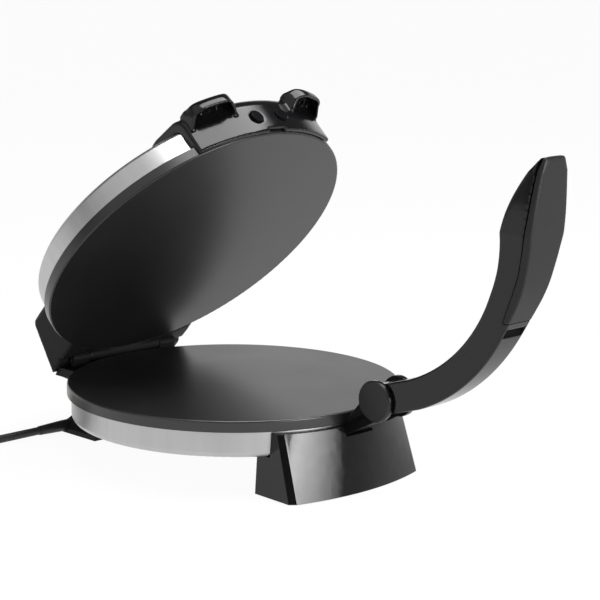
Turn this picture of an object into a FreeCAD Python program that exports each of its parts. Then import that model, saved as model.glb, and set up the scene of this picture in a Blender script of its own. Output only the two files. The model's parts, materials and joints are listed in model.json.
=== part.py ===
import FreeCAD, Part
import math
import os

import Sketcher
from FreeCAD import Placement, Rotation, Vector

# Electric flatbread maker with hinged heated plates and a folding press lever.
# Millimetres. Origin on the counter under the middle of the appliance, +Z up, the lever
# towards -Y, the lid hinge towards +Y. Sub-parts are drawn about the axis of the plates and
# the lid is drawn shut; their Placement then moves them to where they stand, lid open.

SIZES = {
    # whole appliance
    "plate_axis_y": (66.5, "plates' axis behind the middle of the appliance"),
    "open_angle": (47.26, "lid opening, degrees"),
    "fit_gap": (0.3, "clearance of mouldings round the steel shells"),
    "run_gap": (0.05, "radial clearance of a turning shaft"),
    "side_gap": (0.2, "axial clearance beside a turning hub"),
    # baking plates
    "plate_radius": (130.0, "baking plate, outer radius"),
    "plate_top": (59.5, "lower baking face above the counter"),
    "plate_web": (6.0, "baking plate, thickness of the disc"),
    "plate_gap": (0.8, "space between the shut plates"),
    "rim_height": (8.6, "plate rim, height"),
    "rim_wall": (6.0, "plate rim, radial thickness"),
    "rim_round": (1.6, "plate rim, edge radius"),
    # steel shells
    "band_out": (-3.4, "steel shell, outer radius, past the plates' edge"),
    "band_height": (20.0, "steel shell, height of the side band"),
    "band_bend": (4.5, "steel shell, corner radius"),
    "steel_sheet": (1.0, "steel shell, sheet thickness"),
    "lid_crown": (9.0, "rise of the domed lid"),
    # heating
    "element_ring_out": (-48.0, "heating element, ring radius, past the plates' edge"),
    "element_tube": (3.5, "heating element, tube radius"),
    "element_gap": (40.0, "heating element, open part of the ring, degrees"),
    "element_pin": (1.2, "heating element, terminal radius"),
    "element_pin_length": (9.0, "heating element, terminal length"),
    "ridge_width": (13.0, "cast ridge that holds the element, width"),
    "ridge_depth": (6.0, "cast ridge that holds the element, depth"),
    "reflector_out": (-14.0, "heat reflector, radius, past the plates' edge"),
    "reflector_sheet": (0.8, "heat reflector, sheet thickness"),
    "reflector_gap": (0.3, "reflector below the element"),
    "boss_radius": (7.0, "plate boss, radius at its root"),
    "boss_neck": (4.6, "plate boss, radius past the reflector"),
    "base_boss_x": (42.0, "lower plate bosses, half spacing in X"),
    "base_boss_y": (40.0, "lower plate bosses, half spacing in Y"),
    "lid_boss_x": (34.0, "upper plate bosses, half spacing in X"),
    "lid_boss_out": (-33.0, "upper plate bosses, half spacing in Y, past the plates' edge"),
    "screw_radius": (2.0, "screw shank radius"),
    "screw_head": (3.8, "screw head radius"),
    "screw_head_height": (2.2, "screw head height"),
    "screw_grip": (10.0, "screw length in its boss"),
    "thermostat_radius": (8.5, "thermostat, radius"),
    "thermostat_height": (6.5, "thermostat, height"),
    "thermostat_y": (-30.0, "thermostat, place along Y"),
    "thermostat_tab": (13.0, "thermostat, reach of its terminal tabs"),
    # front pedestal
    "foot_lift": (1.0, "mouldings clear of the counter"),
    "front_rear_out": (-36.0, "front pedestal, back wall, past the plates' edge"),
    "front_foot_half": (69.0, "front pedestal, half width at the foot"),
    "front_foot_back": (67.0, "front pedestal, half width of its back at the foot"),
    "front_corner_out": (2.4, "front pedestal, side corner at the foot, past the plates' edge"),
    "front_toe_half": (64.4, "front pedestal, half width of the toe arc"),
    "front_toe_out": (4.8, "front pedestal, ends of the toe arc, past the plates' edge"),
    "front_toe_radius": (212.0, "front pedestal, radius of the toe arc"),
    "front_corner": (4.5, "front pedestal, radius of its corners"),
    "front_top": (49.5, "front pedestal, height"),
    "front_top_half": (66.0, "front pedestal, half width at the top"),
    "front_top_back": (64.0, "front pedestal, half width of its back at the top"),
    "front_top_side_out": (-14.2, "front pedestal, side corner at the top, past the plates' edge"),
    "front_brow_half": (62.0, "front pedestal, half width of the top arc"),
    "front_brow_out": (-11.2, "front pedestal, ends of the top arc, past the plates' edge"),
    "front_brow_arc_out": (4.3, "front pedestal, radius of the top arc, past the plates' edge"),
    "moulding_wall": (3.5, "wall of the hollow mouldings"),
    "hollow_top": (24.0, "height of the hollows in the pedestals"),
    "front_hollow_out": (-6.0, "front pedestal, front end of its hollow, past the plates' edge"),
    "cover_sheet": (2.0, "bottom covers, thickness"),
    "pad_radius": (7.0, "rubber pad, radius"),
    "pad_height": (2.0, "rubber pad, height"),
    "front_pad_x": (50.0, "front rubber pads, half spacing"),
    "front_pad_out": (-18.0, "front rubber pads, past the plates' edge"),
    "rear_pad_x": (36.0, "rear rubber pads, half spacing"),
    "rear_pad_out": (-15.0, "rear rubber pads, past the plates' edge"),
    "shell_screw_x": (30.0, "shell screws, half spacing"),
    "shell_screw_out": (-24.0, "shell screws, distance from the plates' axis, past the plates' edge"),
    "shell_screw_length": (5.0, "shell screws, length in the pedestals"),
    # lever pivot
    "pivot_out": (31.6, "lever pivot, past the plates' edge"),
    "pivot_z": (73.7, "lever pivot, height"),
    "cheek_radius": (15.2, "yoke cheek, radius"),
    "cheek_inner": (10.4, "yoke cheek, inner face from the middle"),
    "cheek_outer": (13.8, "yoke cheek, outer face from the middle"),
    "cap_thick": (1.5, "pivot cap, thickness"),
    "cap_bevel": (1.0, "pivot cap, bevel"),
    "pin_radius": (4.0, "lever pin, radius"),
    "tongue_back_out": (-1.6, "yoke tongue, back face, past the plates' edge"),
    "tongue_thick": (4.6, "yoke tongue, thickness"),
    "tongue_low": (16.0, "yoke tongue, lower end"),
    "notch_low": (42.5, "pedestal notch, height of its sill"),
    "neck_high": (48.5, "yoke neck, height where it leaves the pedestal"),
    "stop_out": (22.0, "yoke web that stops the lever, front face, past the plates' edge"),
    "web_drop": (5.0, "yoke web, top below the pivot"),
    "hub_radius": (11.8, "lever hub, radius"),
    "bush_radius": (5.6, "lever bush, outer radius"),
    "arm_clear": (0.9, "lever arm clear of the cheeks, radially"),
    # lever, measured from its pivot: forward is towards the user
    "arm_root_forward": (27.4, "arm, forward reach of the inner root"),
    "arm_root_rise": (20.3, "arm, rise of the inner root"),
    "arm_inner_radius": (126.0, "arm, radius of its inner curve"),
    "waist_forward": (110.4, "grip, forward reach of its inner waist"),
    "waist_rise": (136.3, "grip, rise of its inner waist"),
    "beak_radius": (90.0, "grip, radius where its end slopes off"),
    "tip_forward": (138.0, "grip, forward reach of the tip"),
    "tip_rise": (186.6, "grip, rise of the tip"),
    "nose_forward": (143.4, "grip, forward reach of the outer end"),
    "nose_rise": (185.4, "grip, rise of the outer end"),
    "back_forward": (127.8, "grip, forward reach where the outer curve starts"),
    "back_rise": (108.5, "grip, rise where the outer curve starts"),
    "arm_outer_radius": (144.4, "arm, radius of its outer curve"),
    "heel_forward": (38.4, "arm, forward reach of the outer heel"),
    "heel_rise": (0.3, "arm, rise of the outer heel"),
    "arm_half_root": (11.2, "arm, half width at the root"),
    "arm_half_grip": (18.6, "grip, half width at its widest"),
    "arm_half_tip": (12.5, "grip, half width at the tip"),
    "cover_thick": (5.0, "grip cover, thickness"),
    "cover_low_forward": (112.0, "grip cover, forward reach of its lower inner end"),
    "cover_low_rise": (74.0, "grip cover, rise of its lower end"),
    "slot_rise": (66.3, "finger slot below the grip cover, rise"),
    "slot_half": (10.0, "finger slot, half length across the arm"),
    "slot_round": (3.0, "finger slot, half height and end radius"),
    "slot_floor_forward": (110.2, "finger slot, forward reach of its floor"),
    "lever_round": (1.5, "lever, edge radius"),
    "cover_round": (1.4, "grip cover, edge radius"),
    # lid front housing
    "hood_out": (3.9, "front housing, outer radius, past the plates' edge"),
    "hood_half": (67.0, "front housing, half width"),
    "hood_lift": (0.6, "front housing above the upper baking face"),
    "hood_wall": (3.0, "front housing, wall"),
    "brow_low": (86.0, "front housing, height of the front face"),
    "brow_radius": (14.0, "front housing, radius over the front edge"),
    "brow_in_out": (-4.0, "front housing, radius where the brow ends, past the plates' edge"),
    "brow_high": (97.0, "front housing, height where the brow ends"),
    "hood_crest_in_out": (-24.0, "front housing, radius of the crest, past the plates' edge"),
    "hood_crest": (101.7, "front housing, height of the crest"),
    "hood_back_in_out": (-39.0, "front housing, radius of its back edge, past the plates' edge"),
    "hood_back_radius": (24.0, "front housing, radius down to its back edge"),
    "hood_back": (96.0, "front housing, height of its back edge"),
    "notch_half": (8.0, "notch under the front housing, half width"),
    "notch_high": (2.6, "notch under the front housing, height"),
    "lip_reach_out": (18.5, "lift lip, outer radius, past the plates' edge"),
    "lip_wall": (2.4, "lift lip, wall"),
    "lip_low": (80.0, "lift lip, lower edge"),
    "lip_top": (96.2, "lift lip, height of its root"),
    "lip_brow": (6.5, "lift lip, radius of its brow"),
    "lip_root_out": (4.5, "lift lip, radius of its root, past the plates' edge"),
    "lip_inner_x": (28.0, "lift lip, inner end from the middle"),
    "lip_outer_x": (65.5, "lift lip, outer end from the middle"),
    "lip_corner": (13.0, "lift lip, radius of its outer corners"),
    "rib_thick": (1.6, "rib in a lift lip, thickness"),
    "lamp_x": (12.5, "indicator lenses, half spacing"),
    "lamp_z": (75.0, "indicator lenses, height with the lid shut"),
    "lens_radius": (5.0, "indicator lens, radius"),
    "lens_proud": (0.7, "indicator lens, proud of the housing"),
    "lens_flange": (6.2, "indicator lens, flange radius"),
    "lens_flange_thick": (1.2, "indicator lens, flange thickness"),
    "lens_seat_out": (-0.7, "indicator lens, front of its flange, past the plates' edge"),
    "board_thick": (1.2, "lamp board, thickness"),
    "board_half": (22.0, "lamp board, half width"),
    "board_height": (9.6, "lamp board, height"),
    # lid rear housing and hinge
    "hinge_out": (5.8, "hinge axis, past the plates' edge"),
    "hinge_z": (61.1, "hinge axis, height"),
    "knuckle_radius": (4.5, "hinge knuckle, radius"),
    "hinge_pin_radius": (2.0, "hinge pin, radius"),
    "knuckle_split": (37.8, "end of the lid knuckles from the middle"),
    "knuckle_end": (54.2, "end of the base knuckles from the middle"),
    "rear_half": (65.0, "rear housing, half width"),
    "rear_low_out": (22.0, "rear housing, lower back edge, past the plates' edge"),
    "rear_high_out": (11.0, "rear housing, upper back edge, past the plates' edge"),
    "rear_shoulder": (103.0, "rear housing, height of the back wall"),
    "rear_top": (107.8, "rear housing, height"),
    "rear_top_back_out": (6.4, "rear housing, back end of its top, past the plates' edge"),
    "rear_top_front_out": (-16.0, "rear housing, front end of its top, past the plates' edge"),
    "rear_corner": (6.0, "rear housing, radius of its upper back edge"),
    "rear_nose_out": (-42.0, "rear housing, front edge on the lid, past the plates' edge"),
    "rear_nose": (95.0, "rear housing, height of its front edge"),
    "rear_nose_radius": (46.0, "rear housing, radius down to its front edge"),
    # rear pedestal
    "rear_front_out": (-33.0, "rear pedestal, front wall, past the plates' edge"),
    "rear_foot_out": (25.0, "rear pedestal, heel, past the plates' edge"),
    "rear_foot_half": (61.5, "rear pedestal, half width of the foot"),
    "heel_height": (5.0, "rear pedestal, thickness of the heel"),
    "rear_waist_out": (2.0, "rear pedestal, back of the waist, past the plates' edge"),
    "rear_waist_half": (50.0, "rear pedestal, half width of the waist"),
    "waist_low": (24.0, "rear pedestal, lower end of the waist"),
    "waist_high": (36.0, "rear pedestal, upper end of the waist"),
    "flare_radius": (24.0, "rear pedestal, radius of the flare over the heel"),
    "flange_low": (47.0, "rear pedestal, underside of the top flange"),
    "flange_top": (54.0, "rear pedestal, top"),
    "flange_half": (61.5, "rear pedestal, half width of the top flange"),
    "flange_radius": (18.0, "rear pedestal, radius under the top flange"),
    "flange_corner": (11.0, "rear pedestal, corner radius seen from above"),
    "stop_gap": (0.35, "lid clear of its open stop"),
    "hinge_arm_front_out": (2.2, "hinge arm, front face, past the plates' edge"),
    "rear_hollow_out": (-3.0, "rear pedestal, back end of its hollow, past the plates' edge"),
    "rear_hollow_half": (45.0, "rear pedestal, half width of its hollow"),
    "terminal_half": (18.0, "terminal block, half width"),
    "terminal_depth": (14.0, "terminal block, depth"),
    "terminal_height": (11.0, "terminal block, height"),
    "terminal_out": (-16.0, "terminal block, past the plates' edge"),
    # mains lead
    "cord_radius": (3.2, "mains lead, radius"),
    "relief_out": (8.0, "strain relief, past the plates' edge"),
    "relief_z": (6.2, "strain relief, height"),
    "relief_root": (4.6, "strain relief, radius at the foot"),
    "relief_tip": (3.7, "strain relief, radius at its end"),
    "relief_length": (24.0, "strain relief, length outside the foot"),
    "relief_seat": (12.0, "strain relief, length inside the foot"),
    "lead_bend_x": (-102.5, "lead, first bend along X"),
    "lead_rest_x": (-130.5, "lead, bend where it lies on the counter"),
    "coil_x": (-154.0, "coil, middle along X"),
    "coil_out": (54.0, "coil, middle along Y, past the plates' edge"),
    "coil_radius": (39.5, "coil, outermost turn"),
    "coil_pitch": (7.0, "coil, spacing of turns in a layer"),
    "coil_low": (4.0, "coil, height of the lower layer's middle"),
    "coil_layer": (6.9, "coil, spacing of the two layers"),
    "coil_turns": (1.5, "coil, turns in each layer"),
    "tail_bend_x": (-138.0, "lead, bend after the coil"),
    "tail_drop_x": (-127.0, "lead, bend before the plug"),
    "tie_gap": (0.25, "cord tie, clear of the turns"),
    "tie_sheet": (0.5, "cord tie, thickness"),
    "tie_width": (4.0, "cord tie, width"),
    "plug_back_x": (-118.0, "plug, end where the lead enters"),
    "plug_front_x": (-86.0, "plug, face with the blades"),
    "plug_shoulder": (14.0, "plug, length of the tapered end"),
    "plug_half": (12.5, "plug, half width"),
    "plug_half_height": (8.3, "plug, half height"),
    "plug_neck": (6.0, "plug, half width of its neck"),
    "plug_z": (8.9, "plug, height of its middle"),
    "blade_length": (17.0, "plug blade, length outside the plug"),
    "blade_seat": (5.0, "plug blade, length inside the plug"),
    "blade_height": (6.3, "plug blade, width"),
    "blade_thick": (1.5, "plug blade, thickness"),
    "blade_half": (6.35, "plug blades, half spacing"),
}

doc = FreeCAD.newDocument("flatbread_maker")
sheet = doc.addObject("Spreadsheet::Sheet", "sizes")
for row, (alias, (value, meaning)) in enumerate(SIZES.items(), start=1):
    sheet.set(f"A{row}", alias)
    sheet.set(f"B{row}", str(value))
    sheet.set(f"C{row}", meaning)
    sheet.setAlias(f"B{row}", alias)
doc.recompute()


class Dim:
    """A size that carries its number and the sheet expression that gives it."""

    def __init__(self, value, text):
        self.value = float(value)
        self.text = text

    def __add__(self, other):
        other = as_dim(other)
        return Dim(self.value + other.value, f"({self.text} + {other.text})")

    def __sub__(self, other):
        other = as_dim(other)
        return Dim(self.value - other.value, f"({self.text} - {other.text})")

    def __mul__(self, other):
        other = as_dim(other)
        return Dim(self.value * other.value, f"({self.text} * {other.text})")

    def __truediv__(self, other):
        other = as_dim(other)
        return Dim(self.value / other.value, f"({self.text} / {other.text})")

    def __radd__(self, other):
        return as_dim(other) + self

    def __rsub__(self, other):
        return as_dim(other) - self

    def __rmul__(self, other):
        return as_dim(other) * self

    def __neg__(self):
        return Dim(-self.value, f"(0 - {self.text})")


def as_dim(number):
    """Return a Dim as it is and wrap a plain number."""
    return number if isinstance(number, Dim) else Dim(number, f"({number})")


def size(alias):
    """Return the driving dimension of that name."""
    return Dim(float(sheet.get(alias)), f"sizes.{alias}")


def root(square):
    return Dim(math.sqrt(square.value), f"sqrt({square.text})")


def sine(angle):
    return Dim(math.sin(math.radians(angle.value)), f"sin({angle.text} * 1 deg)")


def cosine(angle):
    return Dim(math.cos(math.radians(angle.value)), f"cos({angle.text} * 1 deg)")


class Sizes:
    """Driving dimensions by name, such as S.plate_radius."""

    def __getattr__(self, alias):
        return size(alias)


S = Sizes()
ZERO = as_dim(0)
SUBPARTS = {}

# Places along Y and radii that follow the plates' size: a negative reach lies inside their edge
front_rear_y = -(S.plate_radius + S.front_rear_out)
front_corner_y = -(S.plate_radius + S.front_corner_out)
front_toe_y = -(S.plate_radius + S.front_toe_out)
front_top_side_y = -(S.plate_radius + S.front_top_side_out)
front_brow_y = -(S.plate_radius + S.front_brow_out)
front_hollow_y = -(S.plate_radius + S.front_hollow_out)
front_pad_y = -(S.plate_radius + S.front_pad_out)
pivot_y = -(S.plate_radius + S.pivot_out)
tongue_back_y = -(S.plate_radius + S.tongue_back_out)
stop_y = -(S.plate_radius + S.stop_out)
lens_seat_y = -(S.plate_radius + S.lens_seat_out)
rear_pad_y = S.plate_radius + S.rear_pad_out
shell_screw_y = S.plate_radius + S.shell_screw_out
hinge_y = S.plate_radius + S.hinge_out
rear_low_y = S.plate_radius + S.rear_low_out
rear_high_y = S.plate_radius + S.rear_high_out
rear_top_back_y = S.plate_radius + S.rear_top_back_out
rear_top_front_y = S.plate_radius + S.rear_top_front_out
rear_nose_y = S.plate_radius + S.rear_nose_out
rear_front_y = S.plate_radius + S.rear_front_out
rear_foot_y = S.plate_radius + S.rear_foot_out
rear_waist_y = S.plate_radius + S.rear_waist_out
hinge_arm_front_y = S.plate_radius + S.hinge_arm_front_out
rear_hollow_y = S.plate_radius + S.rear_hollow_out
terminal_y = S.plate_radius + S.terminal_out
relief_y = S.plate_radius + S.relief_out
coil_y = S.plate_radius + S.coil_out
lid_boss_y = S.plate_radius + S.lid_boss_out
band_radius = S.plate_radius + S.band_out
reflector_radius = S.plate_radius + S.reflector_out
hood_radius = S.plate_radius + S.hood_out
brow_in = S.plate_radius + S.brow_in_out
hood_crest_in = S.plate_radius + S.hood_crest_in_out
hood_back_in = S.plate_radius + S.hood_back_in_out
lip_reach = S.plate_radius + S.lip_reach_out
lip_root = S.plate_radius + S.lip_root_out
front_brow_radius = S.plate_radius + S.front_brow_arc_out
element_ring = S.plate_radius + S.element_ring_out


def bind(obj, prop, dim):
    obj.setExpression(prop, as_dim(dim).text)


class Arc:
    """Marks the stretch of an outline after a corner as an arc of this radius."""

    def __init__(self, radius, left):
        self.radius = radius
        self.left = left


def arc_ends(start, end, radius, left):
    """Return an arc's centre and end angles, running anticlockwise."""
    chord = end - start
    side = Vector(-chord.y, chord.x, 0).normalize() * (1 if left else -1)
    rise = math.sqrt(max(radius**2 - (chord.Length / 2) ** 2, 0))
    centre = (start + end) / 2 + side * rise
    first, last = (start, end) if left else (end, start)
    angles = [math.atan2((p - centre).y, (p - centre).x) for p in (first, last)]
    if angles[1] < angles[0]:
        angles[1] += 2 * math.pi
    return centre, angles


def own_plane(body, role):
    return next(f for f in body.Origin.OriginFeatures if f.Role == role)


def outline(body, name, role, corners, lift=None):
    """Closed sketch on one of the body's own planes, every corner bound to the sheet.

    A corner is (across, up), or (across, up, Arc) where the stretch after it is round.
    """
    drawing = body.newObject("Sketcher::SketchObject", name)
    drawing.AttachmentSupport = [(own_plane(body, role), "")]
    drawing.MapMode = "FlatFace"
    if lift is not None:
        bind(drawing, "AttachmentOffset.Base.z", lift)
    corners = [(as_dim(c[0]), as_dim(c[1]), c[2] if len(c) > 2 else None) for c in corners]
    spots = [Vector(across.value, up.value, 0) for across, up, _ in corners]
    count = len(corners)
    ends = []
    for index, (_, _, bend) in enumerate(corners):
        start, end = spots[index], spots[(index + 1) % count]
        if bend is None:
            drawing.addGeometry(Part.LineSegment(start, end), False)
            ends.append((1, 2))
        else:
            centre, angles = arc_ends(start, end, as_dim(bend.radius).value, bend.left)
            circle = Part.Circle(centre, Vector(0, 0, 1), as_dim(bend.radius).value)
            drawing.addGeometry(Part.ArcOfCircle(circle, *angles), False)
            ends.append((1, 2) if bend.left else (2, 1))
    for index in range(count):
        after = (index + 1) % count
        joint = Sketcher.Constraint("Coincident", index, ends[index][1], after, ends[after][0])
        drawing.addConstraint(joint)
    for index, (across, up, bend) in enumerate(corners):
        rules = [("DistanceX", across), ("DistanceY", up)]
        for kind, dim in rules:
            rule = Sketcher.Constraint(kind, -1, 1, index, ends[index][0], dim.value)
            number = drawing.addConstraint(rule)
            drawing.renameConstraint(number, f"{kind}{index}")
            bind(drawing, f"Constraints.{kind}{index}", dim)
        if bend is not None:
            radius = as_dim(bend.radius)
            number = drawing.addConstraint(Sketcher.Constraint("Radius", index, radius.value))
            drawing.renameConstraint(number, f"Radius{index}")
            bind(drawing, f"Constraints.Radius{index}", radius)
    return drawing


def new_body(name):
    return doc.addObject("PartDesign::Body", name)


def turned(name, corners):
    """Body of revolution about the Z axis from a radius and height outline."""
    body = new_body(name)
    drawing = outline(body, f"{name}_section", "XZ_Plane", corners)
    turn = body.newObject("PartDesign::Revolution", f"{name}_turn")
    turn.Profile = drawing
    turn.ReferenceAxis = (drawing, ["V_Axis"])
    turn.Angle = 360
    return body


def padded(name, role, corners, length, lift=None):
    """Body with one padded outline, both ways from its plane, or up from lift."""
    body = new_body(name)
    drawing = outline(body, f"{name}_outline", role, corners, lift)
    pad = body.newObject("PartDesign::Pad", f"{name}_pad")
    pad.Profile = drawing
    pad.Midplane = lift is None
    bind(pad, "Length", length)
    return body


def lofted(name, low_corners, low, high_corners, high):
    """Body lofted between two outlines at two heights."""
    body = new_body(name)
    loft = body.newObject("PartDesign::AdditiveLoft", f"{name}_loft")
    loft.Profile = outline(body, f"{name}_low", "XY_Plane", low_corners, low)
    loft.Sections = [outline(body, f"{name}_high", "XY_Plane", high_corners, high)]
    loft.Ruled = True
    return body


def block(name, xs, ys, zs):
    """Box between two values along each axis."""
    box = doc.addObject("Part::Box", name)
    for prop, axis, (low, high) in zip(("Length", "Width", "Height"), "xyz", (xs, ys, zs)):
        bind(box, prop, as_dim(high) - low)
        bind(box, f"Placement.Base.{axis}", low)
    return box


AXIS_TURN = {
    "x": Rotation(Vector(0, 1, 0), 90),
    "y": Rotation(Vector(1, 0, 0), -90),
    "z": Rotation(),
}


def put(obj, axis, place):
    """Turn a primitive's own axis to x, y or z and bind where its start lies."""
    obj.Placement = Placement(Vector(), AXIS_TURN[axis])
    for letter, dim in zip("xyz", place):
        bind(obj, f"Placement.Base.{letter}", dim)
    return obj


def rod(name, axis, radius, place, length):
    cylinder = doc.addObject("Part::Cylinder", name)
    bind(cylinder, "Radius", radius)
    bind(cylinder, "Height", length)
    return put(cylinder, axis, place)


def taper(name, axis, radius_start, radius_end, place, length):
    cone = doc.addObject("Part::Cone", name)
    bind(cone, "Radius1", radius_start)
    bind(cone, "Radius2", radius_end)
    bind(cone, "Height", length)
    return put(cone, axis, place)


def fuse(name, *pieces):
    joined = doc.addObject("Part::MultiFuse", name)
    joined.Shapes = list(pieces)
    joined.Refine = True
    return joined


def group(name, *pieces):
    """Separate solids that share one node, such as a set of screws."""
    bundle = doc.addObject("Part::Compound", name)
    bundle.Links = list(pieces)
    return bundle


def cut(name, base, *tools):
    for number, tool in enumerate(tools):
        last = number == len(tools) - 1
        step = doc.addObject("Part::Cut", name if last else f"{name}_cut{number}")
        step.Base = base
        step.Tool = tool
        step.Refine = True
        base = step
    return base


def overlap(name, first, second):
    shared = doc.addObject("Part::Common", name)
    shared.Base = first
    shared.Tool = second
    shared.Refine = True
    return shared


def rounded(name, base, radius, wanted):
    """Fillet the edges of base that wanted accepts."""
    doc.recompute()
    smooth = doc.addObject("Part::Fillet", name)
    smooth.Base = base
    reach = radius.value
    picked = [n for n, edge in enumerate(base.Shape.Edges, start=1) if wanted(edge)]
    smooth.Edges = [(n, reach, reach) for n in picked]
    return smooth


def subpart(node, obj, carrier):
    """Register a finished sub-part and place it with the piece that carries it."""
    obj.Label = node
    if carrier == "lid":
        swing_y = hinge_y - cosine(S.open_angle) * hinge_y - sine(S.open_angle) * S.hinge_z
        swing_z = S.hinge_z + sine(S.open_angle) * hinge_y - cosine(S.open_angle) * S.hinge_z
        obj.Placement = Placement(Vector(), Rotation(Vector(1, 0, 0), -S.open_angle.value))
        bind(obj, "Placement.Rotation.Angle", S.open_angle)
        bind(obj, "Placement.Rotation.Axis.x", -1)
        bind(obj, "Placement.Base.y", S.plate_axis_y + swing_y)
        bind(obj, "Placement.Base.z", swing_z)
    else:
        bind(obj, "Placement.Base.y", S.plate_axis_y)
    SUBPARTS[node] = obj


# Heights that follow from the driving dimensions, lid shut
rim_low = S.plate_top - S.rim_height
shell_low = rim_low - S.band_height
lid_face = S.plate_top + S.plate_gap
lid_rim = lid_face + S.rim_height
lid_top = lid_rim + S.band_height
dome_half = band_radius - S.band_bend
dome_radius = (dome_half * dome_half + S.lid_crown * S.lid_crown) / (2 * S.lid_crown)


def four_corners(half_x, half_y):
    """Signs and places of four fixings on a rectangle."""
    spots = []
    for side in (-1, 1):
        for end in (-1, 1):
            tag = ("l" if side < 0 else "r") + ("f" if end < 0 else "b")
            spots.append((tag, half_x * side, half_y * end))
    return spots


def baking_plate(node, face, down, boss_x, boss_y, boss_end, carrier):
    """Cast plate with rim, element ridge and stepped screw bosses; down is -1 or 1."""
    back = face + S.plate_web * down
    rim_end = face + S.rim_height * down
    ridge_end = back + S.ridge_depth * down
    ridge_in = element_ring - S.ridge_width / 2
    ridge_out = element_ring + S.ridge_width / 2
    hollow = S.plate_radius - S.rim_wall
    left = down > 0
    disc = turned(f"{node}_disc", [
        (0, back), (0, face), (S.plate_radius - S.rim_round, face, Arc(S.rim_round, left)),
        (S.plate_radius, face + S.rim_round * down), (S.plate_radius, rim_end),
        (hollow, rim_end), (hollow, back), (ridge_out, back), (ridge_out, ridge_end),
        (ridge_in, ridge_end), (ridge_in, back)])
    groove = doc.addObject("Part::Torus", f"{node}_groove")
    bind(groove, "Radius1", element_ring)
    bind(groove, "Radius2", S.element_tube + S.run_gap)
    bind(groove, "Placement.Base.z", ridge_end)
    bosses = []
    holes = []
    shoulder = ridge_end + (S.element_tube + S.reflector_gap) * down
    hole_start = boss_end - S.screw_grip * down
    for tag, x, y in four_corners(boss_x, boss_y):
        low, high = (back, shoulder) if down > 0 else (shoulder, back)
        bosses.append(rod(f"{node}_boss_{tag}", "z", S.boss_radius, (x, y, low), high - low))
        low, high = (back, boss_end) if down > 0 else (boss_end, back)
        bosses.append(rod(f"{node}_neck_{tag}", "z", S.boss_neck, (x, y, low), high - low))
        low, high = (hole_start, boss_end) if down > 0 else (boss_end, hole_start)
        holes.append(rod(f"{node}_hole_{tag}", "z", S.screw_radius + S.run_gap, (x, y, low), high - low))
    casting = fuse(f"{node}_casting", disc, *bosses)
    subpart(node, cut(f"{node}_piece", casting, groove, *holes), carrier)
    return ridge_end, shoulder, hole_start


def heating_element(node, centre_z, carrier):
    """Tubular ring, open at the back, with a terminal pin at each end."""
    ring = doc.addObject("Part::Torus", f"{node}_ring")
    bind(ring, "Radius1", element_ring)
    bind(ring, "Radius2", S.element_tube)
    bind(ring, "Angle3", 360 - S.element_gap)
    ring.Placement = Placement(Vector(), Rotation(Vector(0, 0, 1), 90 + S.element_gap.value / 2))
    bind(ring, "Placement.Rotation.Angle", 90 + S.element_gap / 2)
    bind(ring, "Placement.Base.z", centre_z)
    pins = []
    for side in (-1, 1):
        half = S.element_gap / 2
        pin = rod(f"{node}_pin{side}", "x", S.element_pin, (ZERO, ZERO, ZERO), S.element_pin_length)
        place_x = element_ring * sine(half) * side
        place_y = element_ring * cosine(half)
        turn = Rotation(Vector(0, 0, 1), 180 - half.value if side > 0 else half.value)
        pin.Placement = Placement(Vector(), turn.multiply(AXIS_TURN["x"]))
        for letter, dim in zip("xyz", (place_x, place_y, as_dim(centre_z))):
            bind(pin, f"Placement.Base.{letter}", dim)
        pins.append(pin)
    subpart(node, fuse(f"{node}_piece", ring, *pins), carrier)


def reflector(node, shoulder, down, boss_x, boss_y, carrier):
    """Thin disc that slips over the boss necks and rests on their shoulders."""
    low = shoulder if down > 0 else shoulder - S.reflector_sheet
    disc = rod(f"{node}_disc", "z", reflector_radius, (ZERO, ZERO, low), S.reflector_sheet)
    holes = [rod(f"{node}_hole_{tag}", "z", S.boss_neck + S.run_gap, (x, y, low), S.reflector_sheet)
             for tag, x, y in four_corners(boss_x, boss_y)]
    subpart(node, cut(f"{node}_piece", disc, *holes), carrier)


def plate_screws(node, seat, tip, down, boss_x, boss_y, carrier):
    """Screws through a shell into the plate bosses; the heads stand outside the shell."""
    screws = []
    for tag, x, y in four_corners(boss_x, boss_y):
        head_low = seat if down > 0 else seat - S.screw_head_height
        head = rod(f"{node}_head_{tag}", "z", S.screw_head, (x, y, head_low), S.screw_head_height)
        low, high = (tip, seat) if down > 0 else (seat, tip)
        shank = rod(f"{node}_shank_{tag}", "z", S.screw_radius, (x, y, low), high - low)
        screws.append(fuse(f"{node}_screw_{tag}", head, shank))
    subpart(node, group(f"{node}_piece", *screws), carrier)


def thermostat(node, face, down, carrier):
    """Bimetal thermostat on the back of a plate, with two terminal tabs."""
    low = face if down > 0 else face - S.thermostat_height
    can = rod(f"{node}_can", "z", S.thermostat_radius, (ZERO, S.thermostat_y, low), S.thermostat_height)
    middle = low + S.thermostat_height / 2
    tab_half = S.element_pin * 2
    tabs = block(f"{node}_tabs", (-S.thermostat_tab, S.thermostat_tab),
                 (S.thermostat_y - tab_half, S.thermostat_y + tab_half),
                 (middle, middle + S.reflector_sheet))
    subpart(node, fuse(f"{node}_piece", can, tabs), carrier)


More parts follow.
